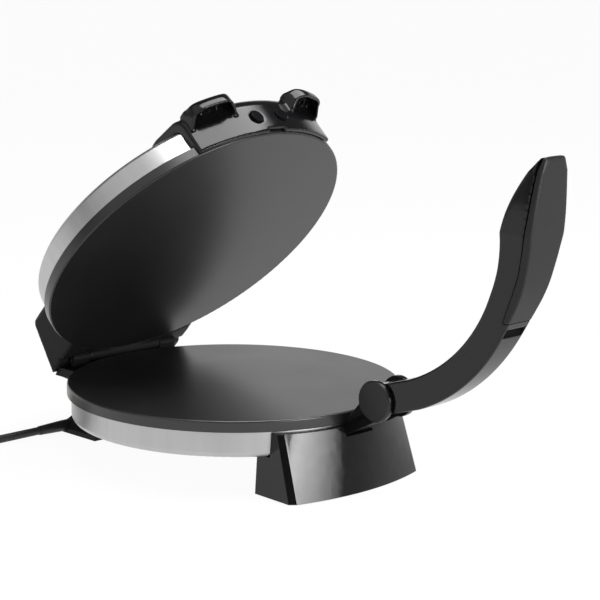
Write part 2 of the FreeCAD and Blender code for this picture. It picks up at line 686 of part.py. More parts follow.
def base_shell():
    """Pressed steel pan under the lower plate."""
    wall = band_radius - S.steel_sheet
    pan = turned("base_pan", [
        (0, shell_low), (dome_half, shell_low, Arc(S.band_bend, True)),
        (band_radius, shell_low + S.band_bend), (band_radius, rim_low), (wall, rim_low),
        (wall, shell_low + S.band_bend, Arc(S.band_bend - S.steel_sheet, False)),
        (dome_half, shell_low + S.steel_sheet), (0, shell_low + S.steel_sheet)])
    holes = []
    spots = (("plate", S.base_boss_x, S.base_boss_y), ("foot", S.shell_screw_x, shell_screw_y))
    for kind, half_x, half_y in spots:
        for tag, x, y in four_corners(half_x, half_y):
            place = (x, y, shell_low)
            holes.append(rod(f"pan_{kind}_{tag}", "z", S.screw_radius + S.run_gap, place, S.steel_sheet))
    subpart("base_shell", cut("base_shell_piece", pan, *holes), "base")


def dome_height(x, y):
    """Height of the lid shell's outer dome above the shut lid's band at a place."""
    fall = dome_radius - root(dome_radius * dome_radius - x * x - y * y)
    return lid_top + S.lid_crown - fall


def lid_shell():
    """Pressed steel lid with a low dome."""
    wall = band_radius - S.steel_sheet
    crown = lid_top + S.lid_crown
    dome = turned("lid_dome", [
        (0, crown, Arc(dome_radius, False)), (dome_half, lid_top, Arc(S.band_bend, False)),
        (band_radius, lid_top - S.band_bend), (band_radius, lid_rim), (wall, lid_rim),
        (wall, lid_top - S.band_bend, Arc(S.band_bend - S.steel_sheet, True)),
        (dome_half, lid_top - S.steel_sheet, Arc(dome_radius, True)), (0, crown - S.steel_sheet)])
    flat = dome_height(S.lid_boss_x, lid_boss_y)
    holes = [rod(f"lid_dome_hole_{tag}", "z", S.screw_radius + S.run_gap,
                 (x, y, lid_rim), S.band_height * 2)
             for tag, x, y in four_corners(S.lid_boss_x, lid_boss_y)]
    seats = [rod(f"lid_dome_seat_{tag}", "z", S.screw_head + S.fit_gap,
                 (x, y, flat - S.steel_sheet / 2), S.band_height)
             for tag, x, y in four_corners(S.lid_boss_x, lid_boss_y)]
    subpart("lid_shell", cut("lid_shell_piece", dome, *seats, *holes), "lid")
    return flat - S.steel_sheet / 2


def base_envelope(name):
    """Room that the pan and the lower plate take up among the mouldings."""
    band = band_radius + S.fit_gap
    rim = S.plate_radius + S.fit_gap
    above = S.rear_top
    return turned(name, [(0, shell_low), (band, shell_low), (band, rim_low - S.fit_gap),
                         (rim, rim_low - S.fit_gap), (rim, above), (0, above)])


def lid_envelope(name):
    """Room that the lid shell and the upper plate take up among the mouldings."""
    band = band_radius + S.fit_gap
    rim = S.plate_radius + S.fit_gap
    crown = lid_top + S.lid_crown + S.fit_gap
    return turned(name, [
        (0, S.flange_low), (rim, S.flange_low), (rim, lid_rim + S.fit_gap), (band, lid_rim + S.fit_gap),
        (band, lid_top - S.band_bend, Arc(S.band_bend + S.fit_gap, True)),
        (dome_half, lid_top + S.fit_gap, Arc(dome_radius + S.fit_gap, True)), (0, crown)])


def front_pedestal():
    """Hollow moulding under the front of the base, notched for the lever yoke."""
    corner = Arc(S.front_corner, True)
    low = [(-S.front_foot_back, front_rear_y), (-S.front_foot_half, front_corner_y, corner),
           (-S.front_toe_half, front_toe_y, Arc(S.front_toe_radius, True)),
           (S.front_toe_half, front_toe_y, corner), (S.front_foot_half, front_corner_y),
           (S.front_foot_back, front_rear_y)]
    high = [(-S.front_top_back, front_rear_y), (-S.front_top_half, front_top_side_y, corner),
            (-S.front_brow_half, front_brow_y, Arc(front_brow_radius, True)),
            (S.front_brow_half, front_brow_y, corner), (S.front_top_half, front_top_side_y),
            (S.front_top_back, front_rear_y)]
    mass = lofted("front_mass", low, S.foot_lift, high, S.front_top)
    hollow_half = S.front_top_back - S.moulding_wall
    hollow = block("front_hollow", (-hollow_half, hollow_half),
                   (front_hollow_y, front_rear_y - S.moulding_wall), (S.foot_lift, S.hollow_top))
    slot_half = S.cheek_outer + S.side_gap
    slot = block("front_slot", (-slot_half, slot_half),
                 (tongue_back_y - S.tongue_thick, tongue_back_y), (S.tongue_low, S.pivot_z))
    notch = block("front_notch", (-slot_half, slot_half),
                  (pivot_y, tongue_back_y), (S.notch_low, S.pivot_z))
    fixings = shell_fixings("front", -1)
    subpart("front_pedestal",
            cut("front_pedestal_piece", mass, base_envelope("front_room"), hollow, slot, notch, *fixings),
            "base")
    bottom_cover("front_cover", hollow_half, front_hollow_y, front_rear_y - S.moulding_wall,
                 S.front_pad_x, front_pad_y)


def shell_fixings(name, end):
    """Blind holes under the pan for the shell screws at one end."""
    low = shell_low - S.shell_screw_length
    return [rod(f"{name}_fixing{side}", "z", S.screw_radius + S.run_gap,
                (S.shell_screw_x * side, shell_screw_y * end, low), S.shell_screw_length)
            for side in (-1, 1)]


def bottom_cover(node, half, front, back, pad_x, pad_y):
    """Plate that closes a pedestal's hollow, with seats for two rubber pads."""
    gap = S.fit_gap
    plate = block(f"{node}_plate", (gap - half, half - gap), (front + gap, back - gap),
                  (S.foot_lift, S.foot_lift + S.cover_sheet))
    seats = [rod(f"{node}_seat{side}", "z", S.pad_radius + S.run_gap, (pad_x * side, pad_y, S.foot_lift),
                 S.pad_height - S.foot_lift) for side in (-1, 1)]
    subpart(node, cut(f"{node}_piece", plate, *seats), "base")


def rubber_pads():
    """Four pads that the appliance stands on."""
    pads = []
    for tag, half, y in (("front", S.front_pad_x, front_pad_y), ("rear", S.rear_pad_x, rear_pad_y)):
        for side in (-1, 1):
            pads.append(rod(f"{tag}_pad{side}", "z", S.pad_radius, (half * side, y, ZERO), S.pad_height))
    subpart("rubber_feet", group("rubber_feet_piece", *pads), "base")


def shell_screws():
    """Screws that hold the pan on the two pedestals, heads inside the pan."""
    seat = shell_low + S.steel_sheet
    screws = []
    for tag, x, y in four_corners(S.shell_screw_x, shell_screw_y):
        head = rod(f"shell_head_{tag}", "z", S.screw_head, (x, y, seat), S.screw_head_height)
        tip = shell_low - S.shell_screw_length
        shank = rod(f"shell_shank_{tag}", "z", S.screw_radius, (x, y, tip), seat - tip)
        screws.append(fuse(f"shell_screw_{tag}", head, shank))
    subpart("shell_screws", group("shell_screws_piece", *screws), "base")


def lever_yoke():
    """Fork on the front pedestal that carries the lever pin, with a tongue down its notch."""
    tongue_front = tongue_back_y - S.tongue_thick
    neck = padded("yoke_neck", "YZ_Plane", [
        (tongue_back_y, S.tongue_low), (tongue_back_y, S.neck_high),
        (pivot_y + S.hub_radius, S.pivot_z), (pivot_y, S.pivot_z - S.cheek_radius),
        (tongue_front, S.notch_low + S.side_gap), (tongue_front, S.tongue_low)], 2 * S.cheek_outer)
    disc = rod("yoke_disc", "x", S.cheek_radius, (-S.cheek_outer, pivot_y, S.pivot_z), 2 * S.cheek_outer)
    slot = block("yoke_slot", (-S.cheek_inner, S.cheek_inner),
                 (pivot_y - S.cheek_radius * 2, stop_y),
                 (S.pivot_z - S.cheek_radius * 2, S.pivot_z + S.cheek_radius * 2))
    room = rod("yoke_hub_room", "x", S.hub_radius + S.side_gap * 2,
               (-S.cheek_inner, pivot_y, S.pivot_z), 2 * S.cheek_inner)
    top = block("yoke_top_room", (-S.cheek_inner, S.cheek_inner), (stop_y, tongue_back_y),
                (S.pivot_z - S.web_drop, S.pivot_z + S.cheek_radius * 2))
    bore = rod("yoke_bore", "x", S.pin_radius + S.run_gap, (-S.cheek_outer, pivot_y, S.pivot_z),
               2 * S.cheek_outer)
    fork = fuse("yoke_fork", neck, disc)
    subpart("lever_yoke", cut("lever_yoke_piece", fork, slot, room, top, bore), "base")
    pin = rod("lever_pin_rod", "x", S.pin_radius, (-S.cheek_outer, pivot_y, S.pivot_z), 2 * S.cheek_outer)
    subpart("lever_pin", group("lever_pin_piece", pin), "base")
    for tag, side in (("left", -1), ("right", 1)):
        rim = S.cap_thick - S.cap_bevel
        start = S.cheek_outer * side
        flat = rod(f"cap_{tag}_flat", "x", S.cheek_radius,
                   (start if side > 0 else start - rim, pivot_y, S.pivot_z), rim)
        near, far = S.cheek_radius, S.cheek_radius - S.cap_bevel
        bevel_start = start + rim if side > 0 else start - S.cap_thick
        radii = (near, far) if side > 0 else (far, near)
        bevel = taper(f"cap_{tag}_bevel", "x", *radii, (bevel_start, pivot_y, S.pivot_z), S.cap_bevel)
        subpart(f"pivot_cap_{tag}", fuse(f"pivot_cap_{tag}_piece", flat, bevel), "base")


def from_pivot(forward, rise):
    """Place in the lever's side view, counted from its pivot."""
    return pivot_y - forward, S.pivot_z + rise


def upright_radius(spread, rise):
    """Radius of an arc over that spread and rise which ends or starts upright."""
    return (spread * spread + rise * rise) / (2 * spread)


def lever_blank():
    """Whole lever before its grip cover is parted off: side view crossed with front view."""
    side = padded("lever_side", "YZ_Plane", [
        from_pivot(ZERO, S.hub_radius),
        (*from_pivot(S.arm_root_forward, S.arm_root_rise), Arc(S.arm_inner_radius, False)),
        (*from_pivot(S.waist_forward, S.waist_rise), Arc(S.beak_radius, True)),
        from_pivot(S.tip_forward, S.tip_rise),
        from_pivot(S.nose_forward, S.nose_rise),
        (*from_pivot(S.back_forward, S.back_rise), Arc(S.arm_outer_radius, True)),
        from_pivot(S.heel_forward, S.heel_rise), from_pivot(ZERO, -S.hub_radius)], 3 * S.arm_half_grip)
    bottom = S.pivot_z - S.cheek_radius
    root_rise, grip_rise = S.pivot_z + S.arm_root_rise, S.pivot_z + S.waist_rise
    top = S.pivot_z + S.tip_rise + S.cover_thick
    hollow = Arc(upright_radius(S.arm_half_grip - S.arm_half_root, grip_rise - root_rise), False)
    front = padded("lever_front", "XZ_Plane", [
        (S.arm_half_root, bottom), (S.arm_half_root, root_rise, hollow), (S.arm_half_grip, grip_rise),
        (S.arm_half_tip, top), (-S.arm_half_tip, top), (-S.arm_half_grip, grip_rise, hollow),
        (-S.arm_half_root, root_rise), (-S.arm_half_root, bottom)], 4 * S.tip_rise)
    return overlap("lever_blank", side, front)


def long_lever_edge(edge):
    """An edge that runs along the lever, away from its hub."""
    box = edge.BoundBox
    forward = box.YMax < (pivot_y - S.arm_root_forward + S.rim_round).value
    return forward and box.XLength < S.hub_radius.value and box.ZLength > S.lever_round.value


def cover_strip(name):
    """Room of the grip cover: the outer layer of the lever from its lower end to the tip."""
    low_y, low_z = from_pivot(S.cover_low_forward, S.cover_low_rise)
    inner_y, split_z = from_pivot(S.back_forward - S.cover_thick, S.back_rise)
    nose_y, nose_z = from_pivot(S.nose_forward - S.cover_thick, S.nose_rise)
    beyond = nose_y - S.arm_outer_radius
    over = nose_z + S.cover_thick * 3
    return padded(name, "YZ_Plane", [(beyond, low_z), (low_y, low_z), (inner_y, split_z), (nose_y, nose_z),
                                     (nose_y, over), (beyond, over)], 4 * S.arm_half_grip)


def finger_slot():
    """Shallow round-ended slot across the outer face of the arm."""
    floor_y, middle = from_pivot(S.slot_floor_forward, S.slot_rise)
    outside = floor_y - S.tip_forward
    straight = S.slot_half - S.slot_round
    run = block("slot_run", (-straight, straight), (outside, floor_y),
                (middle - S.slot_round, middle + S.slot_round))
    ends = [rod(f"slot_end_{tag}", "y", S.slot_round, (x, outside, middle), S.tip_forward)
            for tag, x in (("left", -straight), ("right", straight))]
    return fuse("finger_slot", run, *ends)


def lever():
    """Press lever: arm with hub and stop heel, grip cover and bush."""
    blank = lever_blank()
    doc.recompute()
    rims = [edge for edge in blank.Shape.Edges if long_lever_edge(edge)]

    def on_rim(edge):
        middle = Part.Vertex(edge.valueAt((edge.FirstParameter + edge.LastParameter) / 2))
        return any(rim.distToShape(middle)[0] < S.run_gap.value / 10 for rim in rims)

    cover = overlap("grip_cover_blank", blank, cover_strip("cover_strip"))
    subpart("grip_cover", rounded("grip_cover_piece", cover, S.cover_round, on_rim), "lever")
    parted = cut("lever_arm_blank", blank, cover_strip("cover_room"))
    arm = rounded("lever_arm_round", parted, S.lever_round, on_rim)
    hub = rod("lever_hub", "x", S.hub_radius, (S.side_gap - S.cheek_inner, pivot_y, S.pivot_z),
              2 * (S.cheek_inner - S.side_gap))
    heel = block("lever_heel", (S.side_gap - S.cheek_inner, S.cheek_inner - S.side_gap),
                 (pivot_y, stop_y - S.side_gap),
                 (S.pivot_z - S.hub_radius, S.pivot_z - S.hub_radius / 2))
    whole = fuse("lever_arm_whole", arm, hub, heel)
    cheek_room = S.cheek_radius + S.arm_clear
    rooms = [rod(f"lever_cheek_room{side}", "x", cheek_room,
                 (S.cheek_inner - S.side_gap if side > 0 else S.side_gap - S.cheek_inner - S.arm_half_grip,
                  pivot_y, S.pivot_z), S.arm_half_grip) for side in (-1, 1)]
    bore = rod("lever_bore", "x", S.bush_radius, (-S.cheek_inner, pivot_y, S.pivot_z), 2 * S.cheek_inner)
    subpart("lever_arm", cut("lever_arm_piece", whole, *rooms, bore, finger_slot()), "lever")
    sleeve_half = S.cheek_inner - S.side_gap
    sleeve_end = (-sleeve_half, pivot_y, S.pivot_z)
    sleeve = rod("bush_sleeve", "x", S.bush_radius - S.run_gap, sleeve_end, 2 * sleeve_half)
    hole = rod("bush_hole", "x", S.pin_radius + S.run_gap, sleeve_end, 2 * sleeve_half)
    subpart("lever_bush", cut("lever_bush_piece", sleeve, hole), "lever")


def lip_plan(name, side, inset):
    """Lift lip seen from above: between two planes, round at both outer corners."""
    reach, corner = lip_reach - inset, S.lip_corner - inset
    arc = Arc(corner, side > 0)
    shape = []
    for x, step in ((S.lip_inner_x + inset, corner), (S.lip_outer_x - inset, -corner)):
        middle_x = x + step
        middle_y = -root((reach - corner) * (reach - corner) - middle_x * middle_x)
        stretch = reach / (reach - corner)
        along_end = (middle_x * stretch * side, middle_y * stretch)
        shape.append([(x * side, ZERO), (x * side, middle_y, arc), along_end])
    first, last = shape
    along = Arc(reach, side > 0)
    points = [first[0], first[1], (*first[2], along), (*last[2], arc), last[1][:2], last[0]]
    return padded(name, "XY_Plane", points, 4 * S.lip_top)


def lift_lip(tag, side):
    """One hollow lift lip on the front housing, open below, ribbed inside."""
    wall, brow, edge = S.lip_wall, S.lip_brow, S.lip_wall / 2
    ring = turned(f"lip_ring_{tag}", [
        (lip_root - S.hood_wall, S.lip_low), (lip_reach - edge, S.lip_low, Arc(edge, True)),
        (lip_reach, S.lip_low + edge), (lip_reach, S.lip_top - brow, Arc(brow, True)),
        (lip_reach - brow, S.lip_top), (lip_root - S.hood_wall, S.lip_top)])
    solid = overlap(f"lip_blank_{tag}", ring, lip_plan(f"lip_plan_{tag}", side, ZERO))
    hollow = turned(f"lip_hollow_ring_{tag}", [
        (hood_radius, S.lip_low), (lip_reach - wall, S.lip_low),
        (lip_reach - wall, S.lip_top - brow, Arc(brow - wall, True)),
        (lip_reach - brow, S.lip_top - wall), (hood_radius, S.lip_top - wall)])
    rib_step = (S.lip_outer_x - S.lip_inner_x) / 3
    ribs = []
    for number in (1, 2):
        rib_x = (S.lip_inner_x + rib_step * number) * side
        ribs.append(block(f"lip_rib_{tag}{number}", (rib_x - S.rib_thick / 2, rib_x + S.rib_thick / 2),
                          (-lip_reach, ZERO), (S.lip_top - brow, S.lip_top)))
    space = overlap(f"lip_hollow_{tag}", hollow, lip_plan(f"lip_hollow_plan_{tag}", side, wall))
    return cut(f"lip_{tag}", solid, cut(f"lip_room_{tag}", space, *ribs))


def front_housing():
    """Glossy hood over the front of the lid with two hollow lift lips and lamp windows."""
    low = lid_face + S.hood_lift
    inside = hood_back_in + S.hood_wall
    shape = [(brow_in - S.brow_radius, low), (hood_radius, low),
             (hood_radius, S.brow_low, Arc(S.brow_radius, True)), (brow_in, S.brow_high),
             (hood_crest_in, S.hood_crest, Arc(S.hood_back_radius, True)), (hood_back_in, S.hood_back),
             (hood_back_in, lid_top), (brow_in - S.brow_radius, lid_top)]
    wall = S.hood_wall
    room_shape = [(brow_in - S.brow_radius, low + wall), (hood_radius - wall, low + wall),
                  (hood_radius - wall, S.brow_low, Arc(S.brow_radius - wall, True)),
                  (brow_in - wall / 2, S.brow_high - wall),
                  (hood_crest_in, S.hood_crest - wall, Arc(S.hood_back_radius - wall, True)),
                  (inside, S.hood_back - wall / 2), (inside, lid_top), (brow_in - S.brow_radius, lid_top)]
    front = (-lip_reach, ZERO - S.hood_wall)
    ring = turned("hood_ring", shape)
    solid = overlap("hood_solid", ring, block("hood_width", (-S.hood_half, S.hood_half), front,
                                              (low, S.hood_crest + wall)))
    room = overlap("hood_room", turned("hood_room_ring", room_shape),
                   block("hood_room_width", (wall - S.hood_half, S.hood_half - wall), front,
                         (low, S.hood_crest + wall)))
    windows = [rod(f"hood_window{side}", "y", S.lens_radius + S.run_gap,
                   (S.lamp_x * side, -hood_radius, S.lamp_z), hood_radius - hood_back_in)
               for side in (-1, 1)]
    notch = block("hood_notch", (-S.notch_half, S.notch_half), (-lip_reach, -S.plate_radius),
                  (low, low + S.notch_high))
    hood = cut("hood_shell", solid, room, notch, *windows)
    joined = fuse("hood_joined", hood, lift_lip("left", -1), lift_lip("right", 1))
    subpart("front_housing", cut("front_housing_piece", joined, lid_envelope("hood_lid_room")), "lid")


def indicator_lamps():
    """Two lenses in the front housing and the lamp board behind them."""
    nose = hood_radius + S.lens_proud
    for tag, side in (("power", -1), ("ready", 1)):
        barrel = rod(f"{tag}_barrel", "y", S.lens_radius, (S.lamp_x * side, -nose, S.lamp_z),
                     nose + lens_seat_y)
        flange = rod(f"{tag}_flange", "y", S.lens_flange, (S.lamp_x * side, lens_seat_y, S.lamp_z),
                     S.lens_flange_thick)
        subpart(f"{tag}_lens", fuse(f"{tag}_lens_piece", barrel, flange), "lid")
    board_y = lens_seat_y + S.lens_flange_thick
    board = block("lamp_board_sheet", (-S.board_half, S.board_half), (board_y, board_y + S.board_thick),
                  (S.lamp_z - S.board_height / 2, S.lamp_z + S.board_height / 2))
    subpart("lamp_board", group("lamp_board_piece", board), "lid")


def rear_housing():
    """Moulding over the back of the lid that carries the lid's hinge knuckles."""
    low = lid_face + S.hood_lift
    wall = S.hood_wall
    shape = [(band_radius - S.brow_radius, low), (rear_low_y, low),
             (rear_high_y, S.rear_shoulder, Arc(S.rear_corner, True)), (rear_top_back_y, S.rear_top),
             (rear_top_front_y, S.rear_top, Arc(S.rear_nose_radius, True)), (rear_nose_y, S.rear_nose),
             (rear_nose_y, lid_top), (band_radius - S.brow_radius, lid_top)]
    inside = band_radius - S.brow_radius - wall
    room_shape = [(inside, low + wall), (rear_low_y - wall * 1.5, low + wall),
                  (rear_high_y - wall, S.rear_shoulder - wall),
                  (rear_top_back_y - wall / 2, S.rear_top - wall),
                  (rear_top_front_y + wall / 2, S.rear_top - wall, Arc(S.rear_nose_radius - wall, True)),
                  (rear_nose_y + wall, S.rear_nose), (rear_nose_y + wall, lid_top - wall),
                  (inside, lid_top - wall)]
    block_out = padded("rear_block", "YZ_Plane", shape, 2 * S.rear_half)
    half, corner = S.rear_half, S.rear_corner
    across = padded("rear_across", "XZ_Plane", [
        (-half, low), (half, low),
        (half, S.rear_top - corner, Arc(corner, True)), (half - corner, S.rear_top),
        (corner - half, S.rear_top, Arc(corner, True)), (-half, S.rear_top - corner)], 4 * rear_low_y)
    soft = overlap("rear_crossed_block", block_out, across)
    room = padded("rear_room", "YZ_Plane", room_shape, 2 * (S.rear_half - wall))
    pockets = []
    for side in (-1, 1):
        start = S.knuckle_split - S.side_gap if side > 0 else ZERO - S.knuckle_end - S.side_gap
        pockets.append(rod(f"knuckle_pocket{side}", "x", S.knuckle_radius + S.stop_gap,
                           (start, hinge_y, S.hinge_z), S.knuckle_end - S.knuckle_split + 2 * S.side_gap))
    shell = cut("rear_shell", soft, lid_envelope("rear_lid_room"), room, *pockets)
    length = S.knuckle_split - S.side_gap
    knuckle = rod("lid_knuckle", "x", S.knuckle_radius, (-length, hinge_y, S.hinge_z), 2 * length)
    bore = rod("lid_knuckle_bore", "x", S.hinge_pin_radius + S.run_gap, (-S.rear_half, hinge_y, S.hinge_z),
               2 * S.rear_half)
    joined = fuse("rear_joined", shell, knuckle)
    subpart("rear_housing", cut("rear_housing_piece", joined, bore), "lid")


def rear_pedestal():
    """Waisted moulding under the back of the base with the base's hinge knuckles."""
    slope = sine(S.open_angle) / cosine(S.open_angle)
    stop_high_y = hinge_y + (S.hinge_z - S.flange_top) / slope - S.stop_gap * 2
    stop_low_y = hinge_y + (S.hinge_z - S.flange_low) / slope - S.stop_gap * 2
    side = padded("rear_side", "YZ_Plane", [
        (rear_front_y, S.foot_lift), (rear_foot_y, S.foot_lift),
        (rear_foot_y, S.heel_height, Arc(S.flare_radius, False)), (rear_waist_y, S.waist_low),
        (rear_waist_y, S.waist_high, Arc(S.flange_radius, False)), (stop_low_y, S.flange_low),
        (stop_high_y, S.flange_top), (rear_front_y, S.flange_top)], 3 * S.flange_half)
    half = [(S.rear_foot_half, S.foot_lift), (S.rear_foot_half, S.heel_height, Arc(S.flare_radius, False)),
            (S.rear_waist_half, S.waist_low),
            (S.rear_waist_half, S.waist_high, Arc(S.flange_radius, False)),
            (S.flange_half, S.flange_low), (S.flange_half, S.flange_top)]
    other = [(-c[0], *c[1:2]) for c in reversed(half)]
    other[1] = (*other[1], Arc(S.flange_radius, False))
    other[3] = (*other[3], Arc(S.flare_radius, False))
    front = padded("rear_front", "XZ_Plane", half + other, 4 * rear_foot_y)
    corner = S.flange_corner
    plan = padded("rear_plan", "XY_Plane", [
        (-S.rear_foot_half, ZERO), (S.rear_foot_half, ZERO),
        (S.rear_foot_half, rear_foot_y - corner, Arc(corner, True)),
        (S.rear_foot_half - corner, rear_foot_y),
        (corner - S.rear_foot_half, rear_foot_y, Arc(corner, True)),
        (-S.rear_foot_half, rear_foot_y - corner)], 4 * S.flange_top)
    mass = overlap("rear_mass", overlap("rear_crossed", side, front), plan)
    hollow = block("rear_hollow", (-S.rear_hollow_half, S.rear_hollow_half),
                   (rear_front_y + S.moulding_wall, rear_hollow_y), (S.foot_lift, S.hollow_top))
    seat = rod("relief_hole", "x", S.relief_root, (-S.rear_foot_half, relief_y, S.relief_z), S.relief_seat)
    body = cut("rear_body", mass, base_envelope("rear_base_room"), hollow, seat, *shell_fixings("rear", 1))
    arms = []
    for side_sign in (-1, 1):
        start = S.knuckle_split if side_sign > 0 else -S.knuckle_end
        end = S.knuckle_end if side_sign > 0 else -S.knuckle_split
        arms.append(rod(f"base_knuckle{side_sign}", "x", S.knuckle_radius,
                        (start, hinge_y, S.hinge_z), end - start))
        arms.append(block(f"hinge_arm{side_sign}", (start, end), (hinge_arm_front_y, hinge_y),
                          (S.flange_low, S.hinge_z)))
    joined = fuse("rear_with_knuckles", body, *arms)
    bore = rod("base_knuckle_bore", "x", S.hinge_pin_radius + S.run_gap, (-S.rear_half, hinge_y, S.hinge_z),
               2 * S.rear_half)
    subpart("rear_pedestal", cut("rear_pedestal_piece", joined, bore), "base")
    bottom_cover("rear_cover", S.rear_hollow_half, rear_front_y + S.moulding_wall, rear_hollow_y,
                 S.rear_pad_x, rear_pad_y)
    pin = rod("hinge_pin_rod", "x", S.hinge_pin_radius, (-S.knuckle_end, hinge_y, S.hinge_z),
              2 * S.knuckle_end)
    subpart("hinge_pin", group("hinge_pin_piece", pin), "base")


def terminal_block():
    """Block under the rear pedestal's ceiling where the mains lead is joined."""
    body = block("terminal_body", (-S.terminal_half, S.terminal_half),
                 (terminal_y - S.terminal_depth / 2, terminal_y + S.terminal_depth / 2),
                 (S.hollow_top - S.terminal_height, S.hollow_top))
    wells = []
    for number in (-1, 0, 1):
        wells.append(rod(f"terminal_well{number}", "z", S.screw_radius,
                         (S.terminal_half * number * 2 / 3, terminal_y, S.hollow_top - S.terminal_height),
                         S.terminal_height / 2))
    subpart("terminal_block", cut("terminal_block_piece", body, *wells), "base")


def strain_relief():
    """Tapered rubber sleeve where the mains lead leaves the rear foot."""
    seat = rod("relief_plug", "x", S.relief_root - S.run_gap,
               (-S.rear_foot_half, relief_y, S.relief_z), S.relief_seat - S.run_gap)
    sleeve = taper("relief_sleeve", "x", S.relief_tip, S.relief_root,
                   (-S.rear_foot_half - S.relief_length, relief_y, S.relief_z), S.relief_length)
    subpart("strain_relief", fuse("strain_relief_piece", seat, sleeve), "base")


def lead_wire(points):
    """Straight runs joined by tangent arcs, and the least arc radius."""
    edges = []
    radii = []
    last = points[0]
    for before, corner, after in zip(points, points[1:], points[2:]):
        inward = (corner - before).normalize()
        onward = (after - corner).normalize()
        half_turn = inward.getAngle(onward) / 2
        trim = 0.45 * min((corner - before).Length, (after - corner).Length)
        radii.append(trim / math.tan(half_turn))
        start = corner - inward * trim
        end = corner + onward * trim
        sag = (onward - inward).normalize() * (radii[-1] * (1 / math.cos(half_turn) - 1))
        edges.append(Part.LineSegment(last, start).toShape())
        edges.append(Part.Arc(start, corner + sag, end).toShape())
        last = end
    edges.append(Part.LineSegment(last, points[-1]).toShape())
    return Part.Wire(edges), min(radii)


def half_arc(start, heading, end):
    """Arc from start along heading to end."""
    chord = (end - start) / 2
    lean = heading.getAngle(chord)
    square = heading - chord * (heading.dot(chord) / chord.dot(chord))
    if square.Length < 1e-9:
        return Part.LineSegment(start, end).toShape()
    middle = start + chord + square.normalize() * (chord.Length * math.tan(lean / 2))
    return Part.Arc(start, middle, end).toShape()


def biarc(start, heading, end, leaving):
    """Two tangent arcs from start to end with given directions there."""
    span = end - start
    both = heading + leaving
    spread = 2 * (1 - heading.dot(leaving))
    reach = (math.sqrt(span.dot(both) ** 2 + spread * span.dot(span)) - span.dot(both)) / spread
    join = (start + heading * reach + end - leaving * reach) / 2
    first = half_arc(start, heading, join)
    return [first, half_arc(join, (start + heading * reach - join) * -1, end)]


def coil_spot(turn):
    """Middle of the lead after so many turns of the coil, clockwise from the front."""
    flat = S.coil_turns.value
    climb = min(max((turn - flat) * 2, 0.0), 1.0)
    radius = S.coil_radius.value - S.coil_pitch.value * min(turn, 2 * flat + 0.5 - turn)
    height = S.coil_low.value + S.coil_layer.value * climb * climb * (3 - 2 * climb)
    angle = -math.pi / 2 - 2 * math.pi * turn
    across, along = radius * math.cos(angle), radius * math.sin(angle)
    return Vector(S.coil_x.value + across, coil_y.value + along, height)


def coil_wire():
    """Two-layer coil: spiral in, climb in the half turn where it reverses, spiral out."""
    quarters = round((2 * S.coil_turns.value + 0.5) * 4)
    spots = [coil_spot(n / 4) for n in range(quarters + 1)]
    headings = [Vector(-1, 0, 0)]
    for n in range(1, quarters):
        headings.append((coil_spot(n / 4 + 0.01) - coil_spot(n / 4 - 0.01)).normalize())
    headings.append(Vector(1, 0, 0))
    straight = Vector(2 * S.cord_radius.value, 0, 0)
    edges = [Part.LineSegment(spots[0] + straight, spots[0]).toShape()]
    for n in range(quarters):
        edges += biarc(spots[n], headings[n], spots[n + 1], headings[n + 1])
    edges.append(Part.LineSegment(spots[-1], spots[-1] + straight).toShape())
    return Part.Wire(edges)


def coil_self_gap():
    """Least space between neighbouring turns, from points on the middle line."""
    steps = 48
    spots = [coil_spot(n / steps) for n in range(round((2 * S.coil_turns.value + 0.5) * steps) + 1)]
    least = min((spots[a] - spots[b]).Length
                for a in range(len(spots)) for b in range(a + steps // 2, len(spots)))
    return least - 2 * S.cord_radius.value


def tube(node, wire, start, heading):
    """Round lead along a wire, as one solid."""
    ring = Part.Wire(Part.makeCircle(S.cord_radius.value, start, heading))
    solid = wire.makePipeShell([ring], True, False)
    piece = doc.addObject("Part::Feature", f"{node}_piece")
    piece.Shape = solid
    section = math.pi * S.cord_radius.value**2
    print(f"{node}: length {wire.Length:.1f}, volume ratio {solid.Volume / (section * wire.Length):.4f}")
    subpart(node, piece, "base")


def mains_lead():
    """Lead from the strain relief to the coil, the coil, its tie, the tail and the plug."""
    start = Vector((-S.rear_foot_half - S.relief_length).value, relief_y.value, S.relief_z.value)
    entry = coil_spot(0) + Vector(2 * S.cord_radius.value, 0, 0)
    first = Vector(S.lead_bend_x.value, start.y, start.z)
    second = Vector(S.lead_rest_x.value, entry.y, entry.z)
    wire, radius = lead_wire([start, first, second, entry])
    print(f"power_cord: least bend radius {radius:.1f}")
    tube("power_cord", wire, start, Vector(-1, 0, 0))
    tube("cord_coil", coil_wire(), entry, Vector(-1, 0, 0))
    print(f"cord_coil: least space between turns {coil_self_gap():.2f}")
    leave = coil_spot(2 * S.coil_turns.value + 0.5) + Vector(2 * S.cord_radius.value, 0, 0)
    bend = Vector(S.tail_bend_x.value, leave.y, leave.z)
    drop = Vector(S.tail_drop_x.value, leave.y, S.plug_z.value)
    plug = Vector(S.plug_back_x.value, leave.y, S.plug_z.value)
    wire, radius = lead_wire([leave, bend, drop, plug])
    print(f"cord_tail: least bend radius {radius:.1f}")
    tube("cord_tail", wire, leave, Vector(1, 0, 0))


def cord_tie():
    """Thin band round the coil's turns on the side away from the appliance."""
    turn_out = S.coil_radius - S.coil_pitch / 4
    turn_in = S.coil_radius - S.coil_pitch * 5 / 4
    reach = S.cord_radius + S.tie_gap
    xs = (S.coil_x - turn_out - reach, S.coil_x - turn_in + reach)
    ys = (coil_y - S.tie_width / 2, coil_y + S.tie_width / 2)
    zs = (S.coil_low - reach, S.coil_low + S.coil_layer + reach)
    sheet = S.tie_sheet
    outside = block("tie_outside", (xs[0] - sheet, xs[1] + sheet), ys, (zs[0] - sheet, zs[1] + sheet))
    subpart("cord_tie", cut("cord_tie_piece", outside, block("tie_inside", xs, ys, zs)), "base")


